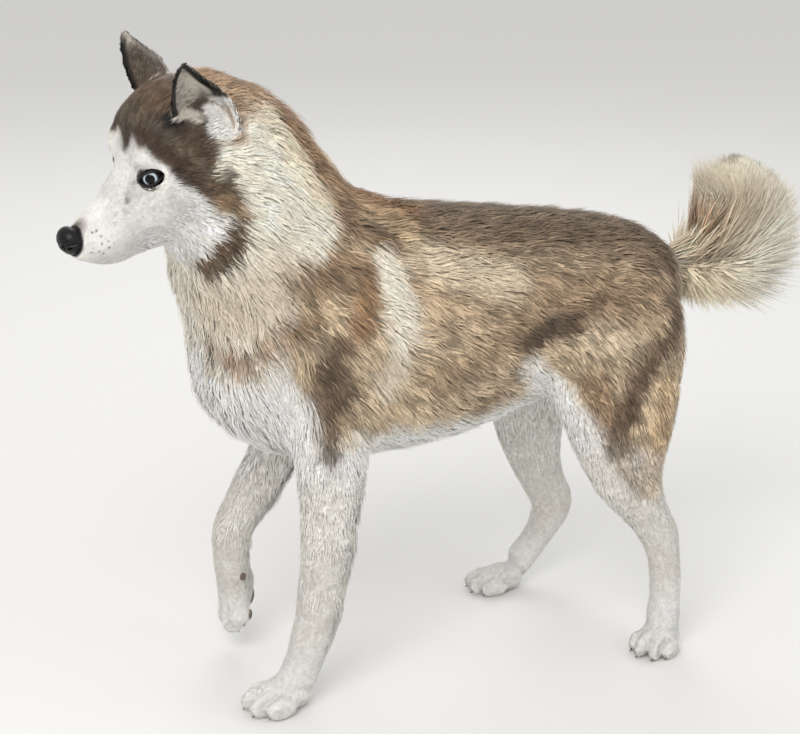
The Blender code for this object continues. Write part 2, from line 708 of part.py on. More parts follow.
def paint(thing):
    """Gives the node its own material, in the colour of the named part, or white for a leg."""
    material = bpy.data.materials.new(thing.name)
    material.use_nodes = True
    shader = material.node_tree.nodes["Principled BSDF"]
    words = thing.name.split("_")
    colour = next((COLOURS[word] for word in words if word in COLOURS), WHITE)
    shader.inputs["Base Color"].default_value = (*colour, 1.0)
    shader.inputs["Roughness"].default_value = {"eye": 0.08, "nose": 0.45}.get(words[-1], 0.85)
    thing.data.materials.clear()
    thing.data.materials.append(material)
    for face in thing.data.polygons:
        face.use_smooth = True
        face.material_index = 0


def main():
    clear_scene()
    legs = {"left_fore": LEFT_FORE, "right_fore": RIGHT_FORE, "left_hind": LEFT_HIND, "right_hind": RIGHT_HIND}
    body = fused("chest", [trunk_loft(), neck_loft(), head_loft()]
                 + [leg_loft("leg", rows) for rows in legs.values()], BODY_VOXEL, 7, FACES_BODY)
    joined_locks(body, surface_locks(body, ruff_seeds(), 0.088, 0.0135, 0.0060, 0.0060, 3)
                 + surface_locks(body, breech_seeds(), 0.070, 0.0125, 0.0070, 0.0070, 4))
    for key in legs:
        x, y = UPPER_LEG_BOXES[key][0][0] - 0.05, UPPER_LEG_BOXES[key][0][1]
        cut(body, block((x, y, -0.1), (x + 0.4, y + 0.21, KNEE_CUTS[key] + GAP / 2)))
    nodes = []
    for key, rows in legs.items():
        leg = fused(key + "_foot", [leg_loft("leg", rows)] + paw_lobes(key), LIMB_VOXEL, 3, FACES_LIMB)
        cut(leg, half_space((0, 0, 0), (0, 0, -1)))
        cut(leg, half_space((0, 0, KNEE_CUTS[key]), (0, 0, 1), -GAP / 2))
        nodes += [part_off(leg, key + "_shank", (0, 0, ANKLE_CUTS[key]), (0, 0, 1)), leg]
        low, high = UPPER_LEG_BOXES[key]
        nodes.append(box_off(body, key + "_upper", low, high))
    cut(body, half_space(*HEAD_CUT, -GAP / 2))
    nodes.append(part_off(body, "neck", *NECK_CUT))
    nodes.append(part_off(body, "rump", *RUMP_CUT))
    nodes.append(part_off(body, "loin", *LOIN_CUT))
    nodes.append(body)

    frame = Matrix(head_axes()).transposed()
    head = fused("head", [head_loft(), neck_loft()], HEAD_VOXEL, 5, FACES_HEAD, HEAD_PUSHES)
    for sign in (-1, 1):
        centre = on_head(EYE[0], EYE[1] * sign, EYE[2])
        cut(head, lobe("lids", centre, (LID_RADIUS,) * 3, segments=20), "UNION")
    cut(head, half_space(HEAD_CUT[0], -Vector(HEAD_CUT[1]), -GAP / 2))
    for sign in (-1, 1):
        centre = on_head(EYE[0], EYE[1] * sign, EYE[2])
        cut(head, lid_opening(sign))
        cut(head, lobe("socket", centre, (EYE_RADIUS + GAP,) * 3))
        eye = lobe("left_eye" if sign < 0 else "right_eye", centre, (EYE_RADIUS,) * 3)
        nodes.append(eye)
        ear = make_ear(sign)
        cut(ear, swollen(head))
        nodes.append(ear)
    cut(head, mouth_blade())
    cut(head, lobe("nose_seat", on_head(NOSE[0], 0, NOSE[1]), [r + GAP for r in NOSE[2:]], frame, 16))
    nodes += [head, make_nose()]

    tail = joined_locks(tail_loft(), tail_locks())
    cut(tail, swollen(bpy.data.objects["rump"]))
    nodes += [part_off(tail, "tail_end", *TAIL_CUT), tail]
    for node in nodes:
        node.data.transform(Matrix.Translation((-CENTRE[0], -CENTRE[1], 0)))
        paint(node)


main()
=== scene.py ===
import math

import bpy
import numpy as np
from mathutils import Matrix, Vector, noise
from mathutils.bvhtree import BVHTree
from mathutils.kdtree import KDTree


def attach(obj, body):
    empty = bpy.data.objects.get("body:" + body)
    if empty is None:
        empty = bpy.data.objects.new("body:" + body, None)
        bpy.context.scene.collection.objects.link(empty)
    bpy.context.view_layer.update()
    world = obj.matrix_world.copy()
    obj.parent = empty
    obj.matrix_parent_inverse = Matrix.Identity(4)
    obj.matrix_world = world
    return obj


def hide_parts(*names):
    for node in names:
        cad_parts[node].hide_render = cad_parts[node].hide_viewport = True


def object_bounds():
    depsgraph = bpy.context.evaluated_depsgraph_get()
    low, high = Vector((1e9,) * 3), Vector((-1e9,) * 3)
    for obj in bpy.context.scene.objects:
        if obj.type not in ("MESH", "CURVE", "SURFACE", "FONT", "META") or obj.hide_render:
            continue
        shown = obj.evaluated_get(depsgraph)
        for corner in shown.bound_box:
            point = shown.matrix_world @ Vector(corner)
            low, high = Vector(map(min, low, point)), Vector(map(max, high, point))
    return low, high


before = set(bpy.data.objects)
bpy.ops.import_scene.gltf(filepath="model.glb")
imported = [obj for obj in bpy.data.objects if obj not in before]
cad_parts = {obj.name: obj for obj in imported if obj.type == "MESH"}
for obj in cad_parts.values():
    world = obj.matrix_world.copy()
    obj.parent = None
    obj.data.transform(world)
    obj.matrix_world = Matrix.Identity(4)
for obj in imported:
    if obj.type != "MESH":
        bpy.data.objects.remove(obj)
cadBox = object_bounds()
shift = np.array((0.01212, 0.00408, 0.0))      # from the dog's own frame to the row's
print("frame loaded")


# Small helpers

def choose(*things):
    bpy.ops.object.select_all(action="DESELECT")
    for thing in things:
        thing.select_set(True)
    bpy.context.view_layer.objects.active = things[0]


def openMesh(thing):
    # into edit mode, with all of the mesh selected
    choose(thing)
    bpy.ops.object.mode_set(mode="EDIT")
    bpy.ops.mesh.select_all(action="SELECT")


def closeMesh():
    bpy.ops.object.mode_set(mode="OBJECT")


def placesOf(mesh):
    flat = np.empty(len(mesh.vertices) * 3, np.float32)
    mesh.vertices.foreach_get("co", flat)
    return flat.reshape(-1, 3).astype(float)


def normalsOf(mesh):
    flat = np.empty(len(mesh.vertices) * 3, np.float32)
    mesh.vertex_normals.foreach_get("vector", flat)
    return flat.reshape(-1, 3).astype(float)


def setPlaces(mesh, places):
    mesh.vertices.foreach_set("co", places.astype(np.float32).ravel())
    mesh.update()


def unit(rows):
    return rows / np.maximum(np.linalg.norm(rows, axis=-1, keepdims=True), 1e-12)


def ease(low, high, value):
    share = np.clip((value - low) / (high - low), 0, 1)
    return share * share * (3 - 2 * share)


def fade(low, high, value):
    return 1 - ease(low, high, value)


def distanceTo(points, path):
    # how far each point is from a bent line
    path = np.asarray(path, float)
    if len(path) == 1:
        return np.linalg.norm(points - path[0], axis=1)
    best = np.full(len(points), np.inf)
    for a, b in zip(path, path[1:]):
        along = b - a
        share = np.clip((points - a) @ along / (along @ along), 0, 1)
        best = np.minimum(best, np.linalg.norm(points - a - share[:, None] * along, axis=1))
    return best


def mirrored(rows):
    # both sides as one: sideways places lose their sign
    return rows * (1, 0, 1) + abs(rows) * (0, 1, 0)


def speckle(points, scale, offset=0.0):
    # soft noise from -1 to 1, with this many metres to a lump
    rows = (points / scale + offset).tolist()
    return np.array([noise.noise(row) for row in rows]) * 1.6


def rebuilt(name, points, triangles):
    mesh = bpy.data.meshes.new(name)
    mesh.vertices.add(len(points))
    mesh.vertices.foreach_set("co", points.astype(np.float32).ravel())
    mesh.loops.add(triangles.size)
    mesh.loops.foreach_set("vertex_index", triangles.astype(np.int32).ravel())
    mesh.polygons.add(len(triangles))
    mesh.polygons.foreach_set("loop_start", np.arange(0, triangles.size, 3, dtype=np.int32))
    mesh.polygons.foreach_set("use_smooth", np.ones(len(triangles), bool))
    mesh.update(calc_edges=True)
    thing = bpy.data.objects.new(name, mesh)
    bpy.context.scene.collection.objects.link(thing)
    return thing


def colourOf(red, green, blue):
    # a screen colour, 0 to 255, as the light it stands for
    share = np.array((red, green, blue)) / 255
    return np.where(share < 0.04045, share / 12.92, ((share + 0.055) / 1.055) ** 2.4)


def setColours(mesh, colours):
    layer = mesh.attributes.get("coat") or mesh.attributes.new("coat", "FLOAT_COLOR", "POINT")
    rows = np.hstack([colours, np.ones((len(colours), 1))])
    layer.data.foreach_set("color", rows.astype(np.float32).ravel())


# The head's own frame: back from the nose tip, side, up

head = {"tip": (-0.4705, -0.0584, 0.5558), "yaw": 11.0, "pitch": 24.0, "roll": 6.0}
headTurn = (Matrix.Rotation(math.radians(head["yaw"]), 3, "Z")
            @ Matrix.Rotation(-math.radians(head["pitch"]), 3, "Y")
            @ Matrix.Rotation(math.radians(head["roll"]), 3, "X"))
headAxes = np.array([headTurn @ Vector(row) for row in ((1, 0, 0), (0, 1, 0), (0, 0, 1))])


def toHead(points):
    return (points - shift - head["tip"]) @ headAxes.T


def fromHead(rows):
    return np.asarray(rows, float) @ headAxes + head["tip"] + shift


# Skin: one closed surface in place of the nodes of flesh

skinSet = {"voxel": 0.0021, "swell": 0.0003, "faces": 178000, "even": 44, "seams": 110, "tailShare": 0.42}
tailPath = ((225, 455, 26), (258, 447, 30), (292, 437, 38), (330, 436, 56), (366, 454, 75), (380, 492, 66),
            (371, 528, 58), (356, 550, 40))
bareNodes = ("left_eye", "right_eye", "nose")
tailNodes = ("tail", "tail_end")
earNodes = ("left_ear", "right_ear")


def copyOfNode(name):
    thing = bpy.data.objects.new(name + "_copy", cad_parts[name].data.copy())
    bpy.context.scene.collection.objects.link(thing)
    openMesh(thing)
    bpy.ops.mesh.remove_doubles(threshold=0.00002)
    bpy.ops.mesh.normals_make_consistent(inside=False)
    closeMesh()
    return thing


def makeTailCore():
    # a tapered round rod along the bend of the tail
    curve = bpy.data.curves.new("tailCore", "CURVE")
    curve.dimensions, curve.bevel_depth, curve.bevel_resolution = "3D", 1.0, 5
    curve.use_fill_caps = True
    line = curve.splines.new("NURBS")
    line.points.add(len(tailPath) - 1)
    line.use_endpoint_u, line.order_u, line.resolution_u = True, 3, 6
    for i, (x, z, radius) in enumerate(np.array(tailPath) / 1000):
        share = 1.0 if i < 2 else skinSet["tailShare"]
        line.points[i].co = (x + shift[0], shift[1], z, 1.0)
        line.points[i].radius = radius * share
    thing = bpy.data.objects.new("tailCore", curve)
    bpy.context.scene.collection.objects.link(thing)
    choose(thing)
    bpy.ops.object.convert(target="MESH")
    return bpy.context.view_layer.objects.active


def makeSkin():
    pieces = [copyOfNode(name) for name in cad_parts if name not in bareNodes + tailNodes]
    for piece in pieces:
        grow = piece.modifiers.new("grow", "DISPLACE")
        grow.strength, grow.mid_level = skinSet["swell"], 0.0
        choose(piece)
        bpy.ops.object.modifier_apply(modifier="grow")
    pieces.append(makeTailCore())
    choose(*pieces)
    bpy.ops.object.join()
    thing = bpy.context.view_layer.objects.active
    thing.name = thing.data.name = "skin"
    thing.data.materials.clear()
    thing.data.remesh_voxel_size = skinSet["voxel"]
    bpy.ops.object.voxel_remesh()
    return keepLargest(thing)


def keepLargest(thing):
    openMesh(thing)
    bpy.ops.mesh.separate(type="LOOSE")
    closeMesh()
    parts = list(bpy.context.selected_objects)
    parts.sort(key=lambda part: len(part.data.vertices))
    for part in parts[:-1]:
        bpy.data.objects.remove(part, do_unlink=True)
    return parts[-1]


# The coat at named places. Each row, in millimetres: place, way the hair lies, reach, then
# hair length, depth of the coat, spacing of the tufts and width of a tuft. Head rows are back, side, up.
headCoat = (
    (12, 0, -22, 1, 0, 0.1, 18, 2.4, 0.5, 0.85, 0.5),
    (40, 0, 10, 1, 0, 0.3, 22, 3.5, 0.8, 0.95, 0.55),
    (40, 24, -22, 1, 0.1, -0.15, 22, 3.8, 0.8, 0.95, 0.55),
    (45, 0, -55, 1, 0, -0.1, 20, 4.5, 1, 1, 0.6),
    (85, 30, -20, 1, 0.2, -0.25, 30, 6, 1.3, 1.1, 0.7),
    (85, 0, 28, 1, 0, 0.6, 20, 4.5, 1, 1, 0.6),
    (105, 22, 50, 0.8, 0.2, 0.7, 22, 6.5, 1.6, 1.1, 0.7),
    (125, 0, 80, 0.9, 0, 0.5, 30, 8, 2.2, 1.2, 0.8),
    (140, 50, 40, 0.9, 0.3, 0.1, 30, 9, 2.4, 1.25, 0.8),
    (160, 0, 88, 1, 0, 0, 35, 11, 3, 1.4, 0.9),
    (205, 0, 80, 1, 0, -0.15, 35, 22, 6, 1.9, 1.1),
    (205, 60, 40, 0.9, 0.3, -0.3, 30, 24, 6, 1.9, 1.1),
    (120, 55, -15, 0.9, 0.3, -0.45, 30, 10, 2.6, 1.25, 0.8),
    (110, 40, -55, 0.8, 0.2, -0.8, 30, 13, 3, 1.4, 0.9),
    (150, 70, -20, 0.8, 0.35, -0.8, 30, 24, 6, 1.8, 1.1),
    (150, 62, -55, 0.6, 0.3, -1, 35, 34, 8.5, 2.1, 1.3),
    (110, 0, -66, 0.9, 0, -0.4, 30, 16, 4, 1.6, 1),
)
bodyCoat = (
    (-335, 0, 500, 0.1, 0, -1, 50, 40, 10, 2.5, 1.5),
    (-322, 0, 430, 0.1, 0, -1, 60, 44, 11, 2.7, 1.7),
    (-300, 0, 350, 0.35, 0, -1, 60, 42, 11, 2.7, 1.7),
    (-245, 0, 280, 1, 0, -0.4, 60, 36, 9, 2.6, 1.6),
    (-280, 100, 540, 0.45, 0.1, -1, 60, 46, 10, 2.6, 1.8),
    (-230, 100, 600, 0.7, 0.1, -0.8, 60, 46, 10, 2.6, 1.8),
    (-250, 0, 695, 1, 0, -0.5, 50, 42, 12, 2.5, 1.5),
    (-190, 0, 620, 0.8, 0, -0.8, 50, 42, 11, 2.6, 1.6),
    (-150, 0, 575, 1, 0, -0.2, 50, 38, 10, 2.6, 1.6),
    (-240, 110, 450, 0.5, 0.1, -1, 60, 46, 11, 2.7, 1.7),
    (-180, 110, 500, 0.8, 0, -0.7, 60, 44, 10, 2.7, 1.7),
    (-180, 115, 400, 0.35, 0, -1, 60, 36, 8, 2.5, 1.5),
    (-80, 0, 552, 1, 0, 0.05, 70, 36, 10, 2.6, 1.5),
    (40, 0, 538, 1, 0, 0.05, 70, 34, 10, 2.6, 1.5),
    (160, 0, 518, 1, 0, 0, 70, 34, 10, 2.6, 1.5),
    (240, 0, 490, 1, 0, -0.4, 50, 34, 9, 2.5, 1.5),
    (-80, 115, 450, 1, 0, -0.45, 70, 34, 8, 2.6, 1.6),
    (-80, 110, 350, 1, 0, -0.55, 70, 34, 8, 2.6, 1.6),
    (40, 110, 430, 1, 0, -0.4, 70, 31, 7, 2.5, 1.5),
    (40, 95, 340, 1, 0, -0.5, 70, 34, 8, 2.5, 1.5),
    (-60, 0, 268, 1, 0, -0.1, 70, 34, 9, 2.7, 1.7),
    (60, 0, 300, 1, 0, -0.1, 70, 30, 8, 2.7, 1.7),
    (130, 100, 430, 1, 0, -0.45, 60, 30, 7, 2.4, 1.5),
    (200, 100, 430, 0.7, 0, -0.8, 50, 30, 7, 2.4, 1.5),
    (160, 125, 370, 0.35, 0, -1, 60, 25, 6, 2.3, 1.4),
    (165, 130, 300, 0.2, 0, -1, 50, 20, 5, 2.1, 1.3),
    (255, 50, 400, 0.25, 0, -1, 50, 38, 10, 2.5, 1.6),
    (240, 95, 300, 0.3, 0, -1, 40, 30, 7, 2.2, 1.4),
    (85, 90, 340, 0.3, 0, -1, 40, 28, 6, 2.3, 1.4),
    (120, 50, 300, 0.1, 0, -1, 50, 18, 5, 2.1, 1.3),
)
# The legs down from the body: x, y, z, half depth. The last place is the foot's middle
legPaths = {
    "left_fore": ((-192, -85, 258, 39), (-198, -83, 170, 30), (-211, -81, 93, 25), (-232, -80, 34, 25),
                  (-262, -75, 18, 25)),
    "right_fore": ((-188, 84, 262, 36), (-235, 82, 186, 27), (-257.5, 79, 122, 22), (-254, 78, 64, 22),
                   (-246, 78, 36, 22)),
    "left_hind": ((164, -99, 258, 60), (184, -105, 193, 32), (213, -106, 143, 25), (223.5, -106, 80, 20),
                  (219, -109, 32, 23), (195, -133, 16, 22)),
    "right_hind": ((142, 100, 256, 56), (146, 105, 212, 44), (168, 110, 142, 29), (182, 111, 110, 28),
                   (151, 113, 50, 20), (92, 115, 16, 22)),
}
legCoat = {"length": (17.0, 10.0, 8.0, 7.0, 6.5), "depth": (3.4, 2.0, 1.7, 1.5, 1.4),
           "spacing": (1.9, 1.6, 1.45, 1.35, 1.25), "width": (1.35, 1.05, 0.90, 0.8, 0.75)}
tailCoat = {"length": 60.0, "depth": 14.0, "spacing": 1.45, "width": 1.35, "start": 0.264, "half": 0.050}
# the plume's outline seen from the side, x and z in millimetres
tailOutline = ((274, 473), (289, 481), (312, 487), (319, 500), (312, 519), (309, 544), (321, 553), (335, 563),
               (363, 569), (393, 558), (409, 545), (422, 523), (431, 508), (435, 479), (435, 443), (424, 413),
               (409, 390), (390, 378), (359, 379), (326, 383), (300, 382), (272, 400), (256, 440))


def coatRows():
    # every row in the row frame: place, lie, reach, length, depth, spacing, width
    parts = ("length", "depth", "spacing", "width")
    rows = []
    for table in (headCoat, bodyCoat):
        for x, y, z, *way, reach, length, depth, spacing, width in table:
            for sign in (-1, 1) if y else (1,):
                spot, lie = np.array((x, y * sign, z)) / 1000, np.array((way[0], way[1] * sign, way[2]))
                if table is headCoat:
                    spot, lie = fromHead([spot])[0], lie @ headAxes
                else:
                    spot = spot + shift
                rows.append((*spot, *lie, reach / 1000, length, depth, spacing, width))
    for path in legPaths.values():
        path = np.array(path) / 1000
        for i, (*spot, half) in enumerate(path):
            way = path[min(i + 1, len(path) - 1), :3] - path[max(i - 1, 0), :3]
            rows.append((*(spot + shift), *way, half * 1.1, *(legCoat[part][min(i, 4)] for part in parts)))
    path = np.array(tailPath) / 1000
    for i, (x, z, radius) in enumerate(path[1:], 1):
        way = path[min(i + 1, len(path) - 1)] - path[i - 1]
        rows.append((x + shift[0], shift[1], z, way[0], 0.0, way[1], radius * 0.55,
                     *(tailCoat[part] for part in parts)))
    rows = np.array(rows, float)
    rows[:, 3:6] = unit(rows[:, 3:6])
    rows[:, 7:] *= 0.001
    return rows


def coatAt(points):
    # lie, and length, depth, spacing and width of the coat at each point
    rows = coatRows()
    total = np.zeros((len(points), 1))
    lie, sizes = np.zeros((len(points), 3)), np.zeros((len(points), 4))
    for row in rows:
        near = np.linalg.norm(points - row[:3], axis=1) / row[6]
        weight = (1 / (0.05 + near ** 4))[:, None]
        total += weight
        lie += weight * row[3:6]
        sizes += weight * row[7:]
    return unit(lie), sizes / total


def treeOf(mesh):
    return BVHTree.FromPolygons([v.co for v in mesh.vertices], [p.vertices for p in mesh.polygons])


def earShare(points):
    # 1 on an ear, fading to 0 on the head beside it
    share = np.zeros(len(points))
    back, side, up = toHead(points).T
    near = np.where((up > 0.02) & (back > 0.13) & (back < 0.23) & (abs(side) > 0.02))[0]
    for name in earNodes:
        tree = treeOf(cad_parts[name].data)
        for i in near:
            found = tree.find_nearest(points[i])
            share[i] = max(share[i], 1 - min(found[3] / 0.006, 1))
    return share


def seamShare(places):
    # 1 where two nodes of a leg meet
    share = np.zeros(len(places))
    for leg, path in legPaths.items():
        trees = [treeOf(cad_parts[f"{leg}_{part}"].data) for part in ("foot", "shank", "upper")]
        fromLeg = distanceTo(places - shift, np.array(path)[:, :3] / 1000)
        mine = np.where((fromLeg < 0.07) & (places[:, 2] < 0.27))[0]
        away = np.array([[tree.find_nearest(places[i])[3] for tree in trees] for i in mine])
        share[mine] = np.maximum(share[mine], fade(0.012, 0.032, np.sort(away, axis=1)[:, 1]))
    return share


def spread(edges, values, times):
    # evens values out over the surface
    ends = np.concatenate([edges[:, 0], edges[:, 1]])
    others = np.concatenate([edges[:, 1], edges[:, 0]])
    count = len(values)
    links = np.maximum(np.bincount(ends, minlength=count), 1)[:, None]
    for _ in range(times):
        sums = np.stack([np.bincount(ends, weights=values[others, k], minlength=count)
                         for k in range(values.shape[1])], axis=1)
        values = 0.5 * values + 0.5 * sums / links
    return values


# each paw: place, turn and pitch in degrees, and scale
pawSet = {
    "left_fore": (-0.247, -0.080, -0.0035, 190.0, 0.0, 1.00),
    "right_fore": (-0.2335, 0.078, 0.0700, 176.0, 74.0, 1.00),
    "left_hind": (0.214, -0.113, -0.0035, 218.0, 0.0, 0.90),
    "right_hind": (0.112, 0.114, -0.0035, 174.0, 0.0, 0.90),
}
toeGaps = ((0.0, 0.020, 0.034), (-0.0185, 0.010, 0.022), (0.0185, 0.010, 0.022))
gapSet = {"depth": 0.0042, "width": 0.0024}
toeTips = ((0.0480, -0.0110), (0.0480, 0.0110), (0.0340, -0.0250), (0.0340, 0.0250))


def pawFrame(key):
    # the paw's place and its axes: forward, sideways and up
    x, y, z, turn, pitch, scale = pawSet[key]
    turned = Matrix.Rotation(math.radians(turn), 3, "Z") @ Matrix.Rotation(math.radians(pitch), 3, "Y")
    return np.array((x, y, z)) + shift, np.array(turned).T * scale


def partToes(places, normals):
    for key in pawSet:
        middle, axes = pawFrame(key)
        here = (places - middle) @ np.linalg.inv(axes)
        forward, side, up = here.T
        near = (abs(side) < 0.045) & (forward > 0.0) & (forward < 0.07) & (up < 0.050) & (up > 0.004)
        for at, start, full in toeGaps:
            dip = gapSet["depth"] * np.exp(-((side - at) / gapSet["width"]) ** 2)
            dip = dip * ease(start, full, forward) * near
            places = places - normals * dip[:, None]
    return places


def shapeSkin(thing):
    mesh = thing.data
    places = placesOf(mesh)
    sizes = coatAt(places)[1]
    ears = earShare(places)
    length = sizes[:, 0] * (1 - ears)
    # the long coat's skin is evened out, and the seams of the legs. The face and feet stay crisp
    seams = seamShare(places)
    soft = np.maximum(ease(0.012, 0.028, length), seams * 0.85)
    group = thing.vertex_groups.new(name="soft")
    keep = thing.vertex_groups.new(name="thin")
    steps = np.round(soft * 20).astype(int)
    for step in range(1, 21):
        group.add(np.where(steps == step)[0].tolist(), step / 20, "REPLACE")
    fine = ease(0.008, 0.024, length + 0.004 * ears)
    steps = np.round(fine * 10).astype(int)
    for step in range(11):
        keep.add(np.where(steps == step)[0].tolist(), 0.12 + 0.88 * step / 10, "REPLACE")
    choose(thing)
    even = thing.modifiers.new("even", "SMOOTH")
    even.factor, even.iterations, even.vertex_group = 0.5, skinSet["even"], "soft"
    bpy.ops.object.modifier_apply(modifier="even")
    depth = sizes[:, 1] * (1 - ears) + 0.0008 * ears + skinSet["swell"]
    edges = edgesOf(mesh)
    depth = spread(edges, depth[:, None], 8)
    tail = places[:, 0] - shift[0] > 0.295
    depth[tail] = 0.0
    normals = spread(edges, normalsOf(mesh), 6)
    places = placesOf(mesh) - unit(normals) * depth
    calm = spread(edges, places, 6)
    places += (calm - places) * soft[:, None]
    calm = spread(edges, places, skinSet["seams"])
    seams *= ease(0.008, 0.022, places[:, 2]) * fade(0.12, 0.14, places[:, 2])
    places += (calm - places) * seams[:, None]
    places = partToes(places, unit(normals))
    setPlaces(mesh, places)
    print("skin sunk by the coat's depth,", len(places), "points")


def thinSkin(thing):
    choose(thing)
    count = len(thing.data.polygons) * 2
    thin = thing.modifiers.new("thin", "DECIMATE")
    thin.ratio = min(1.0, skinSet["faces"] / count)
    thin.vertex_group, thin.vertex_group_factor = "thin", 2.0
    bpy.ops.object.modifier_apply(modifier="thin")
    tri = thing.modifiers.new("tri", "TRIANGULATE")
    bpy.ops.object.modifier_apply(modifier="tri")
    thing.vertex_groups.clear()
    bpy.ops.object.shade_smooth()
    print("skin thinned to", len(thing.data.polygons), "faces")


# Markings: the same colours for skin and coat

paint = {
    "white": (243, 241, 236), "cream": (246, 238, 221), "warmCream": (240, 224, 196), "grey": (205, 198, 186),
    "beige": (190, 168, 138), "sandy": (196, 168, 132), "rust": (152, 114, 80), "brown": (134, 106, 81),
    "taupe": (100, 89, 79), "ash": (84, 74, 66), "umber": (84, 66, 53), "dark": (58, 48, 43),
    "black": (18, 16, 16),
}
paint = {name: colourOf(*tone) for name, tone in paint.items()}
# colour, strength, radius, soft edge, then the stroke's points in millimetres, the same on both sides
bodyMarks = (
    ("beige", 0.4, 30, 26, ((-310, 77, 461), (-281, 93, 466), (-254, 104, 476), (-247, 112, 498))),
    ("beige", 0.5, 12, 14, ((-312, 44, 392), (-292, 70, 388), (-268, 88, 392))),
    ("brown", 0.7, 7, 9, ((-296, 106, 586), (-291, 105, 572))),
    ("umber", 1, 13, 11, ((-290, 104, 560), (-297, 100, 545), (-304, 94, 531), (-313, 89, 520),
        (-320, 78, 510))),
    ("brown", 0.55, 8, 12, ((-312, 50, 420), (-301, 63, 405), (-292, 72, 399), (-280, 84, 397))),
    ("rust", 0.8, 20, 20, ((-170, 45, 582), (-137, 34, 568), (-101, 20, 560), (-77, 20, 552))),
    ("brown", 0.8, 15, 18, ((-165, 74, 561), (-142, 77, 546), (-116, 84, 528), (-98, 90, 508))),
    ("rust", 0.8, 11, 13, ((-142, 98, 496), (-149, 104, 481), (-155, 109, 463), (-163, 113, 439))),
    ("brown", 0.7, 16, 16, ((-228, 108, 491), (-204, 110, 500), (-172, 99, 508))),
    ("umber", 0.85, 13, 14, ((-184, 113, 419), (-201, 116, 398), (-187, 119, 374), (-199, 121, 348))),
    ("dark", 0.55, 8, 12, ((-192, 114, 412), (-203, 117, 386), (-212, 117, 365), (-214, 116, 345))),
    ("sandy", 0.55, 14, 14, ((-128, 46, 557), (-98, 44, 548), (-88, 61, 536), (-85, 76, 523))),
    ("umber", 0.75, 12, 13, ((-216, 115, 371), (-213, 116, 337), (-204, 119, 308))),
    ("cream", 0.95, 13, 14, ((-122, 93, 505), (-118, 106, 477), (-114, 113, 450), (-114, 118, 424))),
    ("cream", 0.5, 11, 14, ((-116, 118, 418), (-122, 119, 396), (-135, 114, 370))),
    ("white", 1, 22, 20, ((-300, 66, 352), (-268, 84, 350), (-246, 96, 352), (-238, 100, 335))),
    ("brown", 0.8, 9, 11, ((-296, 69, 403), (-269, 91, 413), (-237, 102, 436), (-211, 105, 450))),
    ("brown", 0.5, 14, 20, ((-77, 120, 371), (-42, 120, 384), (-6, 119, 402), (33, 113, 418))),
    ("brown", 0.45, 24, 24, ((60, 100, 455), (105, 105, 450), (150, 100, 450), (195, 90, 440))),
    ("warmCream", 0.6, 17, 22, ((-78, 88, 508), (-40, 96, 492), (-10, 99, 482), (18, 100, 470))),
    ("warmCream", 0.25, 14, 20, ((100, 115, 405), (128, 120, 400), (150, 122, 392))),
    ("taupe", 0.25, 22, 24, ((120, 118, 380), (150, 120, 372))),
    # painted shade: these four dark strokes lie in the fold where the thigh meets the flank, from the belly
    # up toward the hip
    ("umber", 0.55, 8, 14, ((95, 104, 416), (111, 106, 421), (135, 108, 433), (158, 104, 441))),
    ("umber", 0.65, 8, 14, ((40, 112, 400), (35, 110, 377), (7, 107, 347), (-16, 98, 325))),
    ("umber", 0.95, 10, 12, ((40, 112, 402), (60, 109, 412), (76, 107, 414), (95, 104, 416))),
    ("dark", 0.8, 8, 10, ((52, 111, 408), (68, 108, 413), (84, 105, 415))),
    ("brown", 0.75, 13, 16, ((112, 122, 340), (116, 127, 331), (129, 133, 295), (150, 136, 245),
        (166, 134, 215))),
    ("umber", 0.9, 10, 13, ((258, 10, 486), (250, 33, 477), (242, 63, 462), (240, 84, 424), (230, 104, 394),
        (214, 116, 381), (189, 124, 371), (172, 130, 351), (157, 134, 330), (150, 136, 311))),
    ("umber", 0.75, 11, 14, ((150, 136, 311), (139, 135, 286), (136, 133, 260))),
    ("sandy", 0.75, 15, 16, ((208, 123, 330), (200, 130, 290), (192, 132, 252), (190, 128, 218))),
    ("white", 1, 14, 14, ((60, 92, 345), (81, 97, 326), (94, 108, 292), (106, 112, 263), (124, 116, 232),
        (150, 122, 198))),
    ("white", 0.9, 12, 14, ((45, 104, 368), (70, 88, 342), (86, 76, 306))),
)
# seen from the side only, so that they run right across the ridge of the neck
ridgeMarks = (
    ("warmCream", 0.8, 28, 20, ((-300, 0, 724), (-250, 0, 704), (-222, 0, 674), (-200, 0, 638),
        (-186, 0, 602))),
    ("rust", 0.9, 11, 11, ((-310, 0, 735), (-279, 0, 722), (-250, 0, 706), (-222, 0, 676), (-200, 0, 640),
        (-184, 0, 602))),
    ("rust", 0.8, 15, 14, ((-310, 0, 722), (-283, 0, 706), (-262, 0, 694))),
)
tailMarks = (
    ("sandy", 0.45, 7, 14, ((316, 0, 495), (341, 0, 510), (369, 0, 524), (396, 0, 534))),
    ("rust", 0.9, 5, 9, ((262, 0, 486), (281, 0, 487), (300, 0, 494), (316, 0, 502))),
    ("rust", 0.35, 6, 12, ((284, 0, 467), (298, 0, 463), (312, 0, 466))),
    ("brown", 0.75, 7, 13, ((297, 0, 547), (303, 0, 529), (311, 0, 513), (322, 0, 521))),
)
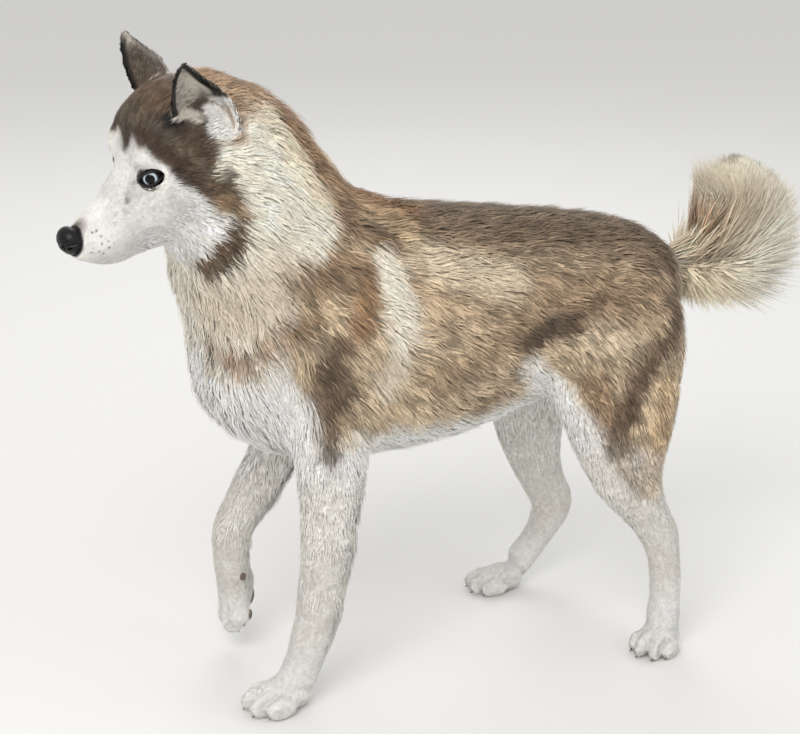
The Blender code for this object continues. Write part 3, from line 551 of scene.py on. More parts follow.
headMarks = (
    ("umber", 0.95, 8, 7, ((115, 26, 66), (118, 40, 60), (122, 50, 44), (130, 58, 28), (137, 65, 12),
        (143, 71, -2), (147, 75, -10))),
    ("dark", 0.6, 5, 6, ((126, 56, 26), (134, 63, 12), (142, 70, -2))),
    ("dark", 0.4, 6, 9, ((132, 0, 90), (118, 0, 74), (108, 0, 56))),
    ("umber", 0.85, 9, 8, ((152, 54, 52), (160, 64, 38), (164, 70, 24))),
    ("cream", 0.85, 4, 6, ((186, 70, 28), (172, 73, 16), (162, 77, 4))),
    ("umber", 0.4, 4, 6, ((158, 79, -2), (165, 81, -10), (172, 84, -22))),
    ("umber", 0.75, 5, 7, ((150, 77, -8), (154, 80, -16), (156, 81, -20))),
    ("beige", 0.7, 7, 8, ((153, 80, -26), (158, 83, -33), (163, 86, -40))),
    ("rust", 0.65, 4, 6, ((154, 80, -22), (157, 82, -30))),
    ("brown", 0.65, 5, 7, ((162, 85, -42), (166, 88, -52))),
    ("rust", 0.7, 5, 8, ((220, 50, 56), (215, 59, 44), (209, 67, 33), (201, 74, 24))),
    ("black", 0.95, 5, 5, ((143, 42, 76), (146, 45, 66), (150, 50, 60))),
    ("taupe", 0.65, 2, 3, ((83, 24, 15), (76, 25, 9))),
    ("black", 0.85, 1.3, 1.6, ((98, 25, 18), (93, 21, 20))),
    ("black", 0.8, 1.3, 1.6, ((109, 46, 22), (113, 51, 20))),
)
# the foot of the ear, where its open side runs down onto the head
earFootMarks = (
    ("black", 0.95, 5, 4, ((145, 42, 77), (147, 46, 69), (153, 51, 63))),
    ("umber", 0.8, 3, 4, ((150, 52, 60), (160, 60, 56), (168, 66, 44), (178, 72, 30), (192, 74, 26))),
    ("grey", 1, 6, 3, ((155, 46, 72), (164, 49, 70), (172, 53, 62))),
    ("white", 1, 8, 4, ((187, 55, 61), (190, 61, 51), (190, 68, 38), (181, 64, 45))),
    ("dark", 0.85, 3, 3, ((184, 47, 74), (178, 50, 68), (176, 56, 60))),
)
whiskerSpots = ((31, 19, -3), (35, 20, -4), (27, 21, -11), (33, 26, -17), (40, 28, -17), (23, 23, -18),
                (21, 21, -22), (31, 24, -28), (28, 23, -24), (38, 27, -24), (44, 29, -22), (36, 24, -10),
                (47, 29, -12))


def addMarks(colour, points, marks, rough):
    for name, strength, radius, soft, path in marks:
        far = distanceTo(points, path) + rough * min(soft, 12) * 0.45
        mask = strength * fade(radius - soft * 0.5, radius + soft, far)
        colour += mask[:, None] * (paint[name] - colour)
    return colour


def mix(colour, name, mask):
    return colour + np.asarray(mask)[:, None] * (paint[name] - colour)


def markings(points):
    # the colour at each point, and the roughness that breaks up its edges
    sides, turned = mirrored(points - shift), mirrored(toHead(points))
    coarse, fine = speckle(points, 0.022), speckle(points, 0.006, 5.0)
    rough = coarse * 0.7 + fine * 0.6
    x, y, z = sides.T
    colour = np.tile(paint["white"], (len(points), 1))
    top = np.interp(x, (-0.20, -0.125, 0.0, 0.12, 0.20, 0.26), (0.60, 0.562, 0.540, 0.524, 0.506, 0.478))
    low = np.interp(x, (-0.30, -0.2, -0.1, 0.0, 0.08, 0.16, 0.26),
                    (0.40, 0.30, 0.298, 0.305, 0.325, 0.25, 0.22))
    # the sandy body between the white chest, belly and legs
    front = np.interp(z, (0.30, 0.36, 0.40, 0.44, 0.47, 0.50, 0.52, 0.55, 0.60, 0.66, 0.72),
                      (-0.222, -0.232, -0.245, -0.245, -0.235, -0.215, -0.200, -0.183, -0.195, -0.20, -0.225))
    body = ease(-0.010, 0.014, x - front + 0.007 * rough)
    body *= ease(low - 0.002, low + 0.030, z + 0.008 * rough)
    body *= fade(0.262, 0.285, x)
    body *= 1 - ease(0.05, 0.09, x) * fade(0.055, 0.085, y + 0.006 * rough) * fade(0.36, 0.42, z)
    colour = mix(colour, "beige", body * 0.95)
    down = top - z
    saddle = body * fade(0.012, 0.075, down + 0.012 * rough) * ease(-0.16, -0.08, x)
    colour = mix(colour, "umber", saddle * 0.80)
    colour = mix(colour, "brown", body * 0.35 * ease(0.05, 0.09, down) * fade(0.09, 0.15, down))
    throat = fade(-0.005, 0.012, x - front) * ease(0.385, 0.430, z + 0.006 * rough)
    colour = mix(colour, "cream", throat * 0.8)
    colour = mix(colour, "beige", throat * 0.20)
    ruff = fade(-0.005, 0.012, x - front) * ease(0.49, 0.54, z) * ease(0.03, 0.06, y)
    colour = mix(colour, "cream", ruff)
    colour = addMarks(colour, sides * (1000, 0, 1000), ridgeMarks, rough)
    colour = addMarks(colour, sides * 1000, bodyMarks, rough)
    # painted shade: the white of the legs and underside, from above the feet up to the belly, is greyed as if
    # in the body's shadow
    colour = mix(colour, "grey", 0.32 * ease(0.045, 0.10, z) * fade(0.24, 0.30, z) * (1 - body))
    tail = ease(0.268, 0.290, x) * ease(0.36, 0.40, z)
    tailColour = mix(np.tile(paint["warmCream"], (len(points), 1)), "cream", ease(0.30, 0.40, x))
    tailColour = addMarks(tailColour, sides * (1000, 0, 1000), tailMarks, rough)
    colour += tail[:, None] * (tailColour - colour)
    # the head
    back, side, up = turned.T
    face = fade(0.150, 0.180, back - 0.5 * np.minimum(up + 0.03, 0)) * ease(-0.110, -0.075, up)
    jaw = np.interp(back, (0.100, 0.120, 0.133, 0.142, 0.154), (-0.087, -0.074, -0.064, -0.057, -0.046))
    colour = mix(colour, "white", face * ease(-0.012, 0.004, up - jaw + 0.004 * rough))
    onHead = fade(0.185, 0.215, back) * ease(-0.12, -0.09, up)
    edge = np.interp(up, (-0.045, -0.024, -0.008, 0.005, 0.018, 0.028, 0.036, 0.044, 0.052, 0.062, 0.075),
                     (0.142, 0.140, 0.140, 0.135, 0.129, 0.124, 0.119, 0.116, 0.115, 0.113, 0.108))
    edge = edge - 0.012 * np.exp(-(side / 0.010) ** 2) + 0.0022 * rough
    cap = ease(-0.0040, 0.0065, back - edge + 0.0020 * fine)
    cap *= 1 - ease(0.166, 0.182, back + 0.004 * rough) * fade(0.035, 0.060, up)
    cap *= ease(-0.045, -0.030, up)
    colour = mix(colour, "ash", cap * onHead)
    brow = np.exp(-((back - 0.128) / 0.016) ** 2 - (side / 0.030) ** 2)
    pale = np.exp(-((back - 0.145) ** 2 + (up - 0.038) ** 2) / 0.00030) + 0.7 * brow
    colour = mix(colour, "beige", cap * onHead * np.minimum(pale, 1) * 0.32)
    colour = mix(colour, "brown", cap * onHead * 0.5 * ease(0.060, 0.085, up) * ease(0.12, 0.15, back))
    colour = addMarks(colour, turned * 1000, headMarks, rough)
    colour = addMarks(colour, turned * 1000, earFootMarks, rough * 0.3)
    dots = np.full(len(points), 9.0)
    near = np.where(back < 0.07)[0]
    for spot in whiskerSpots:
        dots[near] = np.minimum(dots[near], distanceTo(turned[near] * 1000, (spot,)))
    colour = mix(colour, "black", 0.9 * fade(0.9, 1.7, dots))
    leather = np.linalg.norm((turned - (0.0125, 0, -0.0085)) / (0.0150, 0.0175, 0.0160), axis=1)
    smoke = np.linalg.norm((turned - (0.0190, 0, -0.0010)) / (0.0150, 0.0120, 0.0120), axis=1)
    colour = mix(colour, "taupe", 0.8 * fade(0.6, 1.5, smoke))
    colour = mix(colour, "black", fade(1.02, 1.16, leather))
    return colour, rough


def earColours(points, normals, colour, share):
    # cup: black rim, pale hair with painted shade in its hollow. Back of the ear: taupe with a black front
    # edge
    here = toHead(points)
    sign = np.sign(here[:, 1])
    back, up = here[:, 0] - 0.006 * (sign > 0), here[:, 2]
    turnedOut = (normals @ headAxes.T)[:, 1] * sign
    front = np.interp(up, (0.054, 0.085, 0.101, 0.115, 0.1275), (0.147, 0.148, 0.152, 0.158, 0.1695))
    rear = np.interp(up, (0.014, 0.038, 0.062, 0.083, 0.102, 0.125),
                     (0.193, 0.201, 0.203, 0.197, 0.186, 0.174))
    inside = ease(0.05, 0.30, turnedOut)
    fine = speckle(points, 0.004, 2.0)
    backs = np.tile(paint["taupe"], (len(points), 1))
    backs = mix(backs, "umber", 0.55 * ease(-0.2, 0.8, fine))
    backs = mix(backs, "sandy", 0.75 * fade(0.050, 0.085, up))
    backs = mix(backs, "grey", 0.65 * ease(0.108, 0.124, up) + 0.4 * fade(0.003, 0.009, rear - back))
    backs = mix(backs, "black", 0.95 * fade(0.004, 0.0085, back - front) * fade(0.118, 0.128, up))
    inner = mix(np.tile(paint["grey"], (len(points), 1)), "taupe", 0.15 + 0.45 * ease(0.0, 0.9, fine))
    # painted shade: a dark patch low in the cup, where its hollow goes in
    spot = np.exp(-((back - 0.185) / 0.0065) ** 2 - ((up - 0.072) / 0.011) ** 2)
    inner = mix(inner, "dark", 0.85 * spot)
    lobe = ease(0.187, 0.192, back) * fade(0.070, 0.078, up)
    inner = mix(inner, "white", lobe)
    rim = np.minimum(abs(back - front), abs(rear - back))
    inner = mix(inner, "black", 0.95 * fade(0.0056, 0.0082, rim) * (1 - lobe) * ease(0.060, 0.070, up))
    shade = backs + inside[:, None] * (inner - backs)
    return colour + share[:, None] * (shade - colour)


# Eyes

eyeSet = {"place": (0.1105, 0.0275, 0.0190), "radius": 0.0122, "outward": 50.0, "upward": 14.0,
          "length": 0.0136, "height": 0.0068, "slant": 7.0, "iris": 0.0080, "pupil": 0.0049,
          "rimOut": 0.0133, "rimThick": 0.0015, "bulge": 0.0009, "bulgeReach": 0.0062}
gazeUnit = 0.010                                   # metres from the middle of the pupil that count as 1


def eyeFrame(sign):
    # middle of the eye, its axis, and the directions along and across the lids
    out, rise = math.radians(eyeSet["outward"]), math.radians(eyeSet["upward"])
    place = eyeSet["place"]
    centre = fromHead([(place[0], place[1] * sign, place[2])])[0]
    flat = math.cos(rise)
    axis = np.array((-math.cos(out) * flat, sign * math.sin(out) * flat, math.sin(rise))) @ headAxes
    level = unit(np.cross(headAxes[2], axis))
    if level @ headAxes[0] > 0:
        level = -level
    above = unit(np.cross(level, axis))
    if above @ headAxes[2] < 0:
        above = -above
    tilt = math.radians(eyeSet["slant"])
    along = level * math.cos(tilt) - above * math.sin(tilt)
    above = above * math.cos(tilt) + level * math.sin(tilt)
    return centre, axis, along, above


def lidPath(sign, count=48):
    centre, axis, along, above = eyeFrame(sign)
    points = []
    for i in range(count):
        angle = 2 * math.pi * i / count
        lift = math.copysign(abs(math.sin(angle)) ** 1.3, math.sin(angle))
        lift *= eyeSet["height"] * (1.08 if lift > 0 else 0.86)
        reach = eyeSet["length"] * math.cos(angle)
        flat = along * reach + above * lift
        deep = math.sqrt(max(eyeSet["rimOut"] ** 2 - float(flat @ flat), 1e-8))
        points.append(centre + flat + axis * deep)
    return np.array(points)


def lidColours(points, colour, reach):
    # the dark line round the lids, on skin and hair alike
    for way in (-1, 1):
        near = np.where(np.linalg.norm(points - eyeFrame(way)[0], axis=1) < 0.024)[0]
        dark = fade(reach * 0.55, reach, distanceTo(points[near], lidPath(way, 24)))
        colour[near] += (dark * 0.95)[:, None] * (paint["black"] - colour[near])
    return colour


def tubeRound(name, path, radii, count=10):
    # a closed ring of round section
    points = []
    total = len(path)
    for i in range(total):
        ahead = unit(path[(i + 1) % total] - path[i - 1])
        out = unit(path[i] - path.mean(axis=0))
        out = unit(out - ahead * (out @ ahead))
        across = np.cross(ahead, out)
        for k in range(count):
            angle = 2 * math.pi * k / count
            points.append(path[i] + (out * math.cos(angle) + across * math.sin(angle)) * radii[i])
    faces = []
    for i in range(total):
        for k in range(count):
            a, b = i * count + k, i * count + (k + 1) % count
            c, d = (a + count) % (total * count), (b + count) % (total * count)
            faces += [(a, c, b), (b, c, d)]
    return rebuilt(name, np.array(points), np.array(faces))


def faceOut(thing):
    openMesh(thing)
    bpy.ops.mesh.normals_make_consistent(inside=False)
    closeMesh()


def makeEye(sign):
    side = "left" if sign < 0 else "right"
    centre, axis, along, above = eyeFrame(sign)
    bpy.ops.object.select_all(action="DESELECT")
    bpy.ops.mesh.primitive_uv_sphere_add(segments=64, ring_count=40, radius=eyeSet["radius"] - 0.0001,
                                         location=(0, 0, 0))
    ball = bpy.context.view_layer.objects.active
    ball.name = ball.data.name = side + "EyeBall"
    places = placesOf(ball.data)
    reach = np.linalg.norm(places[:, :2], axis=1)
    # the clear front of the eye stands out a little
    bulge = eyeSet["bulge"] * np.exp(-(reach / eyeSet["bulgeReach"]) ** 2)
    places[:, 2] += np.where(places[:, 2] > 0, bulge, 0.0)
    turned = places[:, :1] * along + places[:, 1:2] * above + places[:, 2:] * axis
    gaze = np.where(places[:, 2] > 0, reach, 0.02)
    setPlaces(ball.data, turned + centre)
    layer = ball.data.attributes.new("gaze", "FLOAT_VECTOR", "POINT")
    rows = np.stack([gaze, places[:, 0], places[:, 1]], axis=1) / gazeUnit
    layer.data.foreach_set("vector", rows.astype(np.float32).ravel())
    faceOut(ball)
    bpy.ops.object.shade_smooth()
    path = lidPath(sign)
    turn = np.arange(len(path)) / len(path) * 2 * math.pi
    radii = eyeSet["rimThick"] * (0.82 + 0.30 * np.clip(np.sin(turn), 0, 1))
    rim = tubeRound(side + "LidRim", path, radii)
    faceOut(rim)
    return ball, rim


# Claws and pads

clawSet = {"length": 0.0080, "root": 0.0017, "tip": 0.0004, "up": 0.0085, "droop": -0.60, "curve": 0.0016,
           "inset": 0.004}
# each pad under the raised paw: its place on the paw, then its three radii
padSet = ((0.004, 0.000, 0.0022, 0.0120, 0.0130, 0.0055), (0.032, -0.0105, 0.0045, 0.0078, 0.0056, 0.0046),
          (0.032, 0.0105, 0.0045, 0.0078, 0.0056, 0.0046), (0.020, -0.0225, 0.0045, 0.0074, 0.0054, 0.0046),
          (0.020, 0.0225, 0.0045, 0.0074, 0.0054, 0.0046))
wristPad = {"place": (-0.2500, 0.0585, 0.1020), "radii": (0.0042, 0.0045, 0.0055)}


def joinAs(name, pieces):
    choose(*pieces)
    bpy.ops.object.join()
    thing = bpy.context.view_layer.objects.active
    thing.name = thing.data.name = name
    bpy.ops.object.transform_apply(location=True, rotation=True, scale=True)
    bpy.ops.object.shade_smooth()
    return thing


def makeClaws(key):
    middle, axes = pawFrame(key)
    pieces = []
    for forward, side in toeTips:
        bpy.ops.object.select_all(action="DESELECT")
        bpy.ops.mesh.primitive_cone_add(vertices=14, radius1=clawSet["root"], radius2=clawSet["tip"],
                                        depth=clawSet["length"])
        claw = bpy.context.view_layer.objects.active
        openMesh(claw)
        bpy.ops.mesh.subdivide(number_cuts=2)
        closeMesh()
        places = placesOf(claw.data)
        share = places[:, 2] / clawSet["length"] + 0.5
        places[:, 0] -= clawSet["curve"] * share ** 2      # the claw curves down
        setPlaces(claw.data, places)
        way = unit(axes[0] + axes[2] * clawSet["droop"])
        claw.rotation_euler = Vector(way).to_track_quat("Z", "Y").to_euler()
        claw.location = middle + axes.T @ (forward - clawSet["inset"], side, clawSet["up"])
        pieces.append(claw)
    return joinAs(key.replace("_", "") + "Claws", pieces)


def makePads():
    # the soft pads under the raised paw, and the one behind its wrist
    middle, axes = pawFrame("right_fore")
    turn = Matrix(unit(axes).T.tolist())
    spots = [(middle + axes.T @ row[:3], row[3:], turn.to_euler()) for row in padSet]
    spots.append((np.array(wristPad["place"]) + shift, wristPad["radii"], (0, 0, 0)))
    pieces = []
    for place, radii, angle in spots:
        bpy.ops.object.select_all(action="DESELECT")
        bpy.ops.mesh.primitive_uv_sphere_add(segments=24, ring_count=16, radius=1.0, location=place,
                                             rotation=angle)
        pad = bpy.context.view_layer.objects.active
        pad.scale = radii
        pieces.append(pad)
    return joinAs("raisedPawPads", pieces)


# Nose leather

noseSet = {"voxel": 0.00075, "even": 4}


def makeNose():
    thing = copyOfNode("nose")
    thing.name = thing.data.name = "noseLeather"
    thing.data.materials.clear()
    thing.data.remesh_voxel_size = noseSet["voxel"]
    bpy.ops.object.voxel_remesh()
    places = placesOf(thing.data)
    here = toHead(places)
    back, side, up = here.T
    here[:, 2] += 0.0012 * np.exp(-((back - 0.004) / 0.006) ** 2) * ease(0.0, 0.006, up)
    groove = np.exp(-(side / 0.0011) ** 2) * ease(0.010, 0.002, back) * fade(-0.012, -0.004, up)
    here[:, 0] += 0.0016 * groove                  # the groove down the middle
    slit = np.exp(-((up + 0.0065 + 0.15 * (back - 0.006)) / 0.0011) ** 2) * ease(0.0095, 0.0125, abs(side))
    here[:, 1] -= np.sign(side) * 0.0022 * slit * fade(0.010, 0.014, back)
    # the back of the leather widens a little, so that it goes down into the muzzle's skin
    wider = 1 + 0.07 * ease(0.007, 0.014, back)
    here[:, 1] *= wider
    here[:, 2] = (here[:, 2] + 0.0085) * wider - 0.0085
    here[:, 0] += 0.0015 * ease(0.008, 0.016, back)
    setPlaces(thing.data, fromHead(here))
    choose(thing)
    even = thing.modifiers.new("even", "SMOOTH")
    even.factor, even.iterations = 0.5, noseSet["even"]
    bpy.ops.object.modifier_apply(modifier="even")
    bpy.ops.object.shade_smooth()
    return thing


# Tufts

furSet = {"seed": 21, "long": 0.72, "short": 1.45, "quickShare": 0.45, "mostFaces": 190000, "sink": 0.0010,
          "patch": 0.003, "longFrom": 0.0115, "soften": 0.88, "under": 0.42, "guard": 0.12, "round": 0.24,
          "lengths": (0.60, 1.10), "depths": (0.65, 1.10)}
plumeSet = {"lie": 0.90, "rise": (1.25, 0.50, 1.25), "scatter": 0.07, "short": (0.50, 0.85),
            "full": (0.78, 1.00)}
earCoat = {"ear": (0.0050, 0.0010, 0.00105, 0.00070), "foot": (0.0070, 0.0022, 0.00120, 0.00080)}
chance = np.random.default_rng(furSet["seed"])
mouthPath = ((0.0080, 0.0000, -0.0300), (0.0120, 0.0120, -0.0310), (0.0260, 0.0205, -0.0375),
             (0.0480, 0.0250, -0.0430), (0.0680, 0.0300, -0.0425), (0.0830, 0.0360, -0.0360))


def unwrapSkin(thing):
    openMesh(thing)
    bpy.ops.uv.smart_project(angle_limit=math.radians(66), island_margin=0.001)
    closeMesh()
    layer = thing.data.uv_layers.active
    layer.name = "OFBake"
    flat = np.empty(len(thing.data.loops) * 2, np.float32)
    layer.data.foreach_get("uv", flat)
    return flat.reshape(-1, 3, 2)


def edgesOf(mesh):
    flat = np.empty(len(mesh.edges) * 2, np.int32)
    mesh.edges.foreach_get("vertices", flat)
    return flat.reshape(-1, 2)


def combEars(places, normals, lie, sizes, ears):
    # hair on the ear runs up to its tip, and across the cup from the front edge inside it
    here = toHead(places)
    sign = np.sign(here[:, 1])
    turnedOut = (normals @ headAxes.T)[:, 1] * sign
    inside = ears * ease(0.05, 0.35, turnedOut)
    rows = mirrored(here) * 1000
    foot = fade(7.0, 11.0, np.minimum(distanceTo(rows, ((155, 46, 72), (172, 53, 62))),
                                          distanceTo(rows, ((187, 55, 61), (190, 68, 38), (181, 64, 45)))))
    tipWay = np.stack([np.full(len(here), 0.25), sign * 0.2, np.ones(len(here))], axis=1) @ headAxes
    cupWay = np.stack([np.ones(len(here)), sign * 0.5, np.full(len(here), 0.35)], axis=1) @ headAxes
    share = ears[:, None]
    lie = lie * (1 - share) + share * tipWay
    lie = lie * (1 - inside[:, None]) + inside[:, None] * cupWay
    high = ears * ease(0.098, 0.122, here[:, 2])
    low = inside * fade(0.075, 0.10, here[:, 2])
    sizes = sizes * (1 - share) + share * np.array(earCoat["ear"])
    sizes[:, 0] *= 1 - 0.45 * high
    sizes[:, 0] += inside * 0.002 * (1 - high) + low * 0.003
    sizes[:, 1] += low * 0.001
    foot = (foot * (1 - ears))[:, None]
    return lie, sizes * (1 - foot) + foot * np.array(earCoat["foot"])


def sowRoots(skin):
    # roots scattered over the skin as thickly as the coat map says
    mesh = skin.data
    places, normals = placesOf(mesh), normalsOf(mesh)
    corners = np.empty(len(mesh.loops), np.int32)
    mesh.loops.foreach_get("vertex_index", corners)
    corners = corners.reshape(-1, 3)
    lie, sizes = coatAt(places)
    edges = edgesOf(mesh)
    ears = spread(edges, earShare(places)[:, None], 2)[:, 0]
    lie, sizes = combEars(places, normals, lie, sizes, ears)
    for way in (-1, 1):
        # round the eyes the hair is short and lies back from the lids
        centre, axis = eyeFrame(way)[:2]
        close = fade(0.012, 0.030, np.linalg.norm(places - centre - axis * 0.008, axis=1))
        sizes *= 1 - close[:, None] * np.array((0.60, 0.55, 0.18, 0.25))
    # the fringe behind the forelegs
    body = places - shift
    behind = ease(0.35, 0.85, normals[:, 0]) * ease(0.05, 0.09, body[:, 2]) * fade(0.25, 0.30, body[:, 2])
    behind *= (body[:, 0] < -0.14)
    sizes[:, 0] *= 1 + 0.9 * behind
    sizes[:, 1] *= 1 + 1.1 * behind
    lie = lie - normals * np.sum(lie * normals, axis=1, keepdims=True)
    lie = spread(edges, unit(lie), 10)
    lie = unit(lie - normals * np.sum(lie * normals, axis=1, keepdims=True))
    a, b, c = places[corners[:, 0]], places[corners[:, 1]], places[corners[:, 2]]
    area = np.linalg.norm(np.cross(b - a, c - a), axis=1) / 2
    face = sizes[corners].mean(axis=1)
    thickness = np.where(face[:, 0] > furSet["longFrom"], furSet["long"], furSet["short"])
    wanted = area / face[:, 2] ** 2 * thickness
    count = np.floor(wanted + chance.random(len(wanted))).astype(int)
    pick = np.repeat(np.arange(len(wanted)), count)
    share = chance.random((len(pick), 2))
    flip = share.sum(axis=1) > 1
    share[flip] = 1 - share[flip]
    weights = np.stack([1 - share.sum(axis=1), share[:, 0], share[:, 1]], axis=1)

    def blendOf(values):
        return np.einsum("nk,nkd->nd", weights, values[corners[pick]])

    roots = {"place": blendOf(places), "normal": unit(blendOf(normals)), "lie": unit(blendOf(lie)),
             "sizes": blendOf(sizes), "ears": blendOf(ears[:, None])[:, 0],
             "uv": np.einsum("nk,nkd->nd", weights, skinUv[pick])}
    keep = bareMask(roots)
    return {key: value[keep] for key, value in roots.items()}


def bareMask(roots):
    # no hair on the lids, the nose, the lips or the soles
    places = roots["place"]
    keep = np.ones(len(places), bool)
    for way in (-1, 1):
        centre, _, along, above = eyeFrame(way)
        path = lidPath(way)
        near = np.where(np.linalg.norm(places - centre, axis=1) < 0.022)[0]
        rim = distanceTo(places[near], np.vstack([path, path[:1]]))
        flat = places[near] - centre
        inLids = ((flat @ along) / eyeSet["length"]) ** 2 + ((flat @ above) / eyeSet["height"]) ** 2 < 0.8
        keep[near] &= (rim > 0.0020) & ~inLids
    here = toHead(places)
    keep &= np.linalg.norm((here - (0.0108, 0, -0.0085)) / (0.0135, 0.0172, 0.0155), axis=1) > 1.02
    sides = mirrored(here)
    near = np.where((here[:, 0] < 0.10) & (here[:, 2] < 0.0))[0]
    keep[near] &= distanceTo(sides[near], mouthPath) > 0.0011
    soles = (places[:, 2] < 0.0030) & (roots["normal"][:, 2] < -0.7)
    return keep & ~soles


def plumeReach(places, ways):
    # how far it is from each root, the way its hair goes, to the outline of the plume
    here, way = (places - shift)[:, [0, 2]], ways[:, [0, 2]]
    reach = np.full(len(places), 0.20)
    corners = np.array(tailOutline) / 1000
    for a, b in zip(corners, np.roll(corners, -1, axis=0)):
        side, gap = b - a, a - here
        turn = way[:, 0] * side[1] - way[:, 1] * side[0]
        turn = np.where(abs(turn) < 1e-9, 1e-9, turn)
        gone = (gap[:, 0] * side[1] - gap[:, 1] * side[0]) / turn
        share = (gap[:, 0] * way[:, 1] - gap[:, 1] * way[:, 0]) / turn
        hit = (gone > 0.004) & (share >= 0) & (share <= 1)
        reach[hit] = np.minimum(reach[hit], gone[hit])
    reach[reach > 0.19] = 0.020
    return np.minimum(reach, tailCoat["half"] / np.maximum(abs(ways[:, 1]), 1e-6))


def growPaths(roots, tree):
    # root, middle and tip of each tuft, lying along the skin and rising off it by the coat's depth
    place, normal, sizes = roots["place"], roots["normal"], roots["sizes"]
    count = len(place)
    long = ease(0.010, 0.030, sizes[:, 0])
    length = sizes[:, :1] * chance.uniform(*furSet["lengths"], (count, 1))
    depth = sizes[:, 1:2] * chance.uniform(*furSet["depths"], (count, 1))
    kind = chance.random(count)
    under = (kind < furSet["under"]) & (long > 0.3)    # wide soft tufts fill the coat below the others
    guard = (kind > 1 - furSet["guard"]) & (long > 0.3)
    length[under] *= 0.75
    depth[under] *= 0.60
    depth[guard] *= 1.35
    sizes[:, 3] *= 0.90
    sizes[under, 3] *= 2.6
    sizes[guard, 3] *= 0.8
    sway = (speckle(place, 0.030, 9.0) * 0.32 + speckle(place, 0.011, 3.0) * 0.34) * (0.4 + 0.6 * long)
    sway = (sway + chance.normal(0, 1, count) * (0.08 + 0.09 * long))[:, None]
    lie = unit(roots["lie"] + np.cross(normal, roots["lie"]) * sway)
    paths, leans = [place - normal * furSet["sink"]], [normal]
    for share, lift in ((0.5, 0.70), (1.0, 1.0)):
        at = place + lie * length * share
        there, up = at.copy(), normal.copy()
        for i in range(count):
            found = tree.find_nearest(at[i])
            there[i], up[i] = found[0], found[1]
        up = unit(up * 0.75 + normal * 0.25)
        leans.append(up)
        paths.append(there * 0.8 + at * 0.2 + up * depth * lift)
    paths, leans = np.stack(paths, axis=1), np.stack(leans, axis=1)
    roots["shade"] = gatherLocks(paths, sizes)
    # the plume fans out from the tail's core, as far as its outline
    plume = np.where(place[:, 0] - shift[0] > tailCoat["start"])[0]
    scatter = chance.normal(0, plumeSet["scatter"], (len(plume), 3))
    out = unit(lie[plume] * plumeSet["lie"] + normal[plume] * plumeSet["rise"] + scatter)
    short, full = (chance.uniform(*plumeSet[key], len(plume)) for key in ("short", "full"))
    share = np.where(under[plume], short, full)
    reach = (plumeReach(place[plume], out) * share)[:, None]
    start = unit(out + normal[plume] * 0.30)
    paths[plume, 1] = place[plume] + (start * 0.35 + out * 0.17) * reach
    paths[plume, 2] = place[plume] + out * reach
    low, high = np.array(cadBox[0]) + 0.0012, np.array(cadBox[1]) - 0.0008
    paths[:, 1:] = np.clip(paths[:, 1:], low, high)
    reach = paths[:, 2] - paths[:, 0]
    far = np.linalg.norm(reach, axis=1)
    stray = (far > 1.30 * length[:, 0] + 2 * depth[:, 0]) | (np.sum(reach * normal, axis=1) < 0)
    first = np.cross(unit(paths[:, 1] - paths[:, 0]), normal)
    second = np.cross(unit(reach), normal)
    stray |= np.sum(first * second, axis=1) < 0.25 * np.linalg.norm(first, axis=1)
    stray[plume] = False
    leans[plume] = unit(normal[plume] * (1.0, 0.45, 1.0) + out * 0.3 + (0, 0, 0.45))[:, None]
    roots["leans"] = leans
    return paths, ~stray


def gatherLocks(paths, sizes):
    # neighbouring tufts lean together toward their tips, as locks do
    roots = paths[:, 0]
    guides = np.arange(0, len(roots), 13)
    tree = KDTree(len(guides))
    for guide in guides:
        tree.insert(roots[guide], int(guide))
    tree.balance()
    nearest = np.array([tree.find(place)[1] for place in roots])
    pull = chance.uniform(0.25, 0.80, len(roots)) * ease(0.004, 0.030, sizes[:, 0])
    offset = roots - roots[nearest]
    pull *= np.linalg.norm(offset, axis=1) < 0.35 * sizes[:, 0]
    for k, share in ((1, 0.30), (2, 0.80)):
        target = paths[nearest, k] + offset * 0.30
        paths[:, k] += (pull * share)[:, None] * (target - paths[:, k])
    return chance.normal(0, 1, len(roots))[nearest]


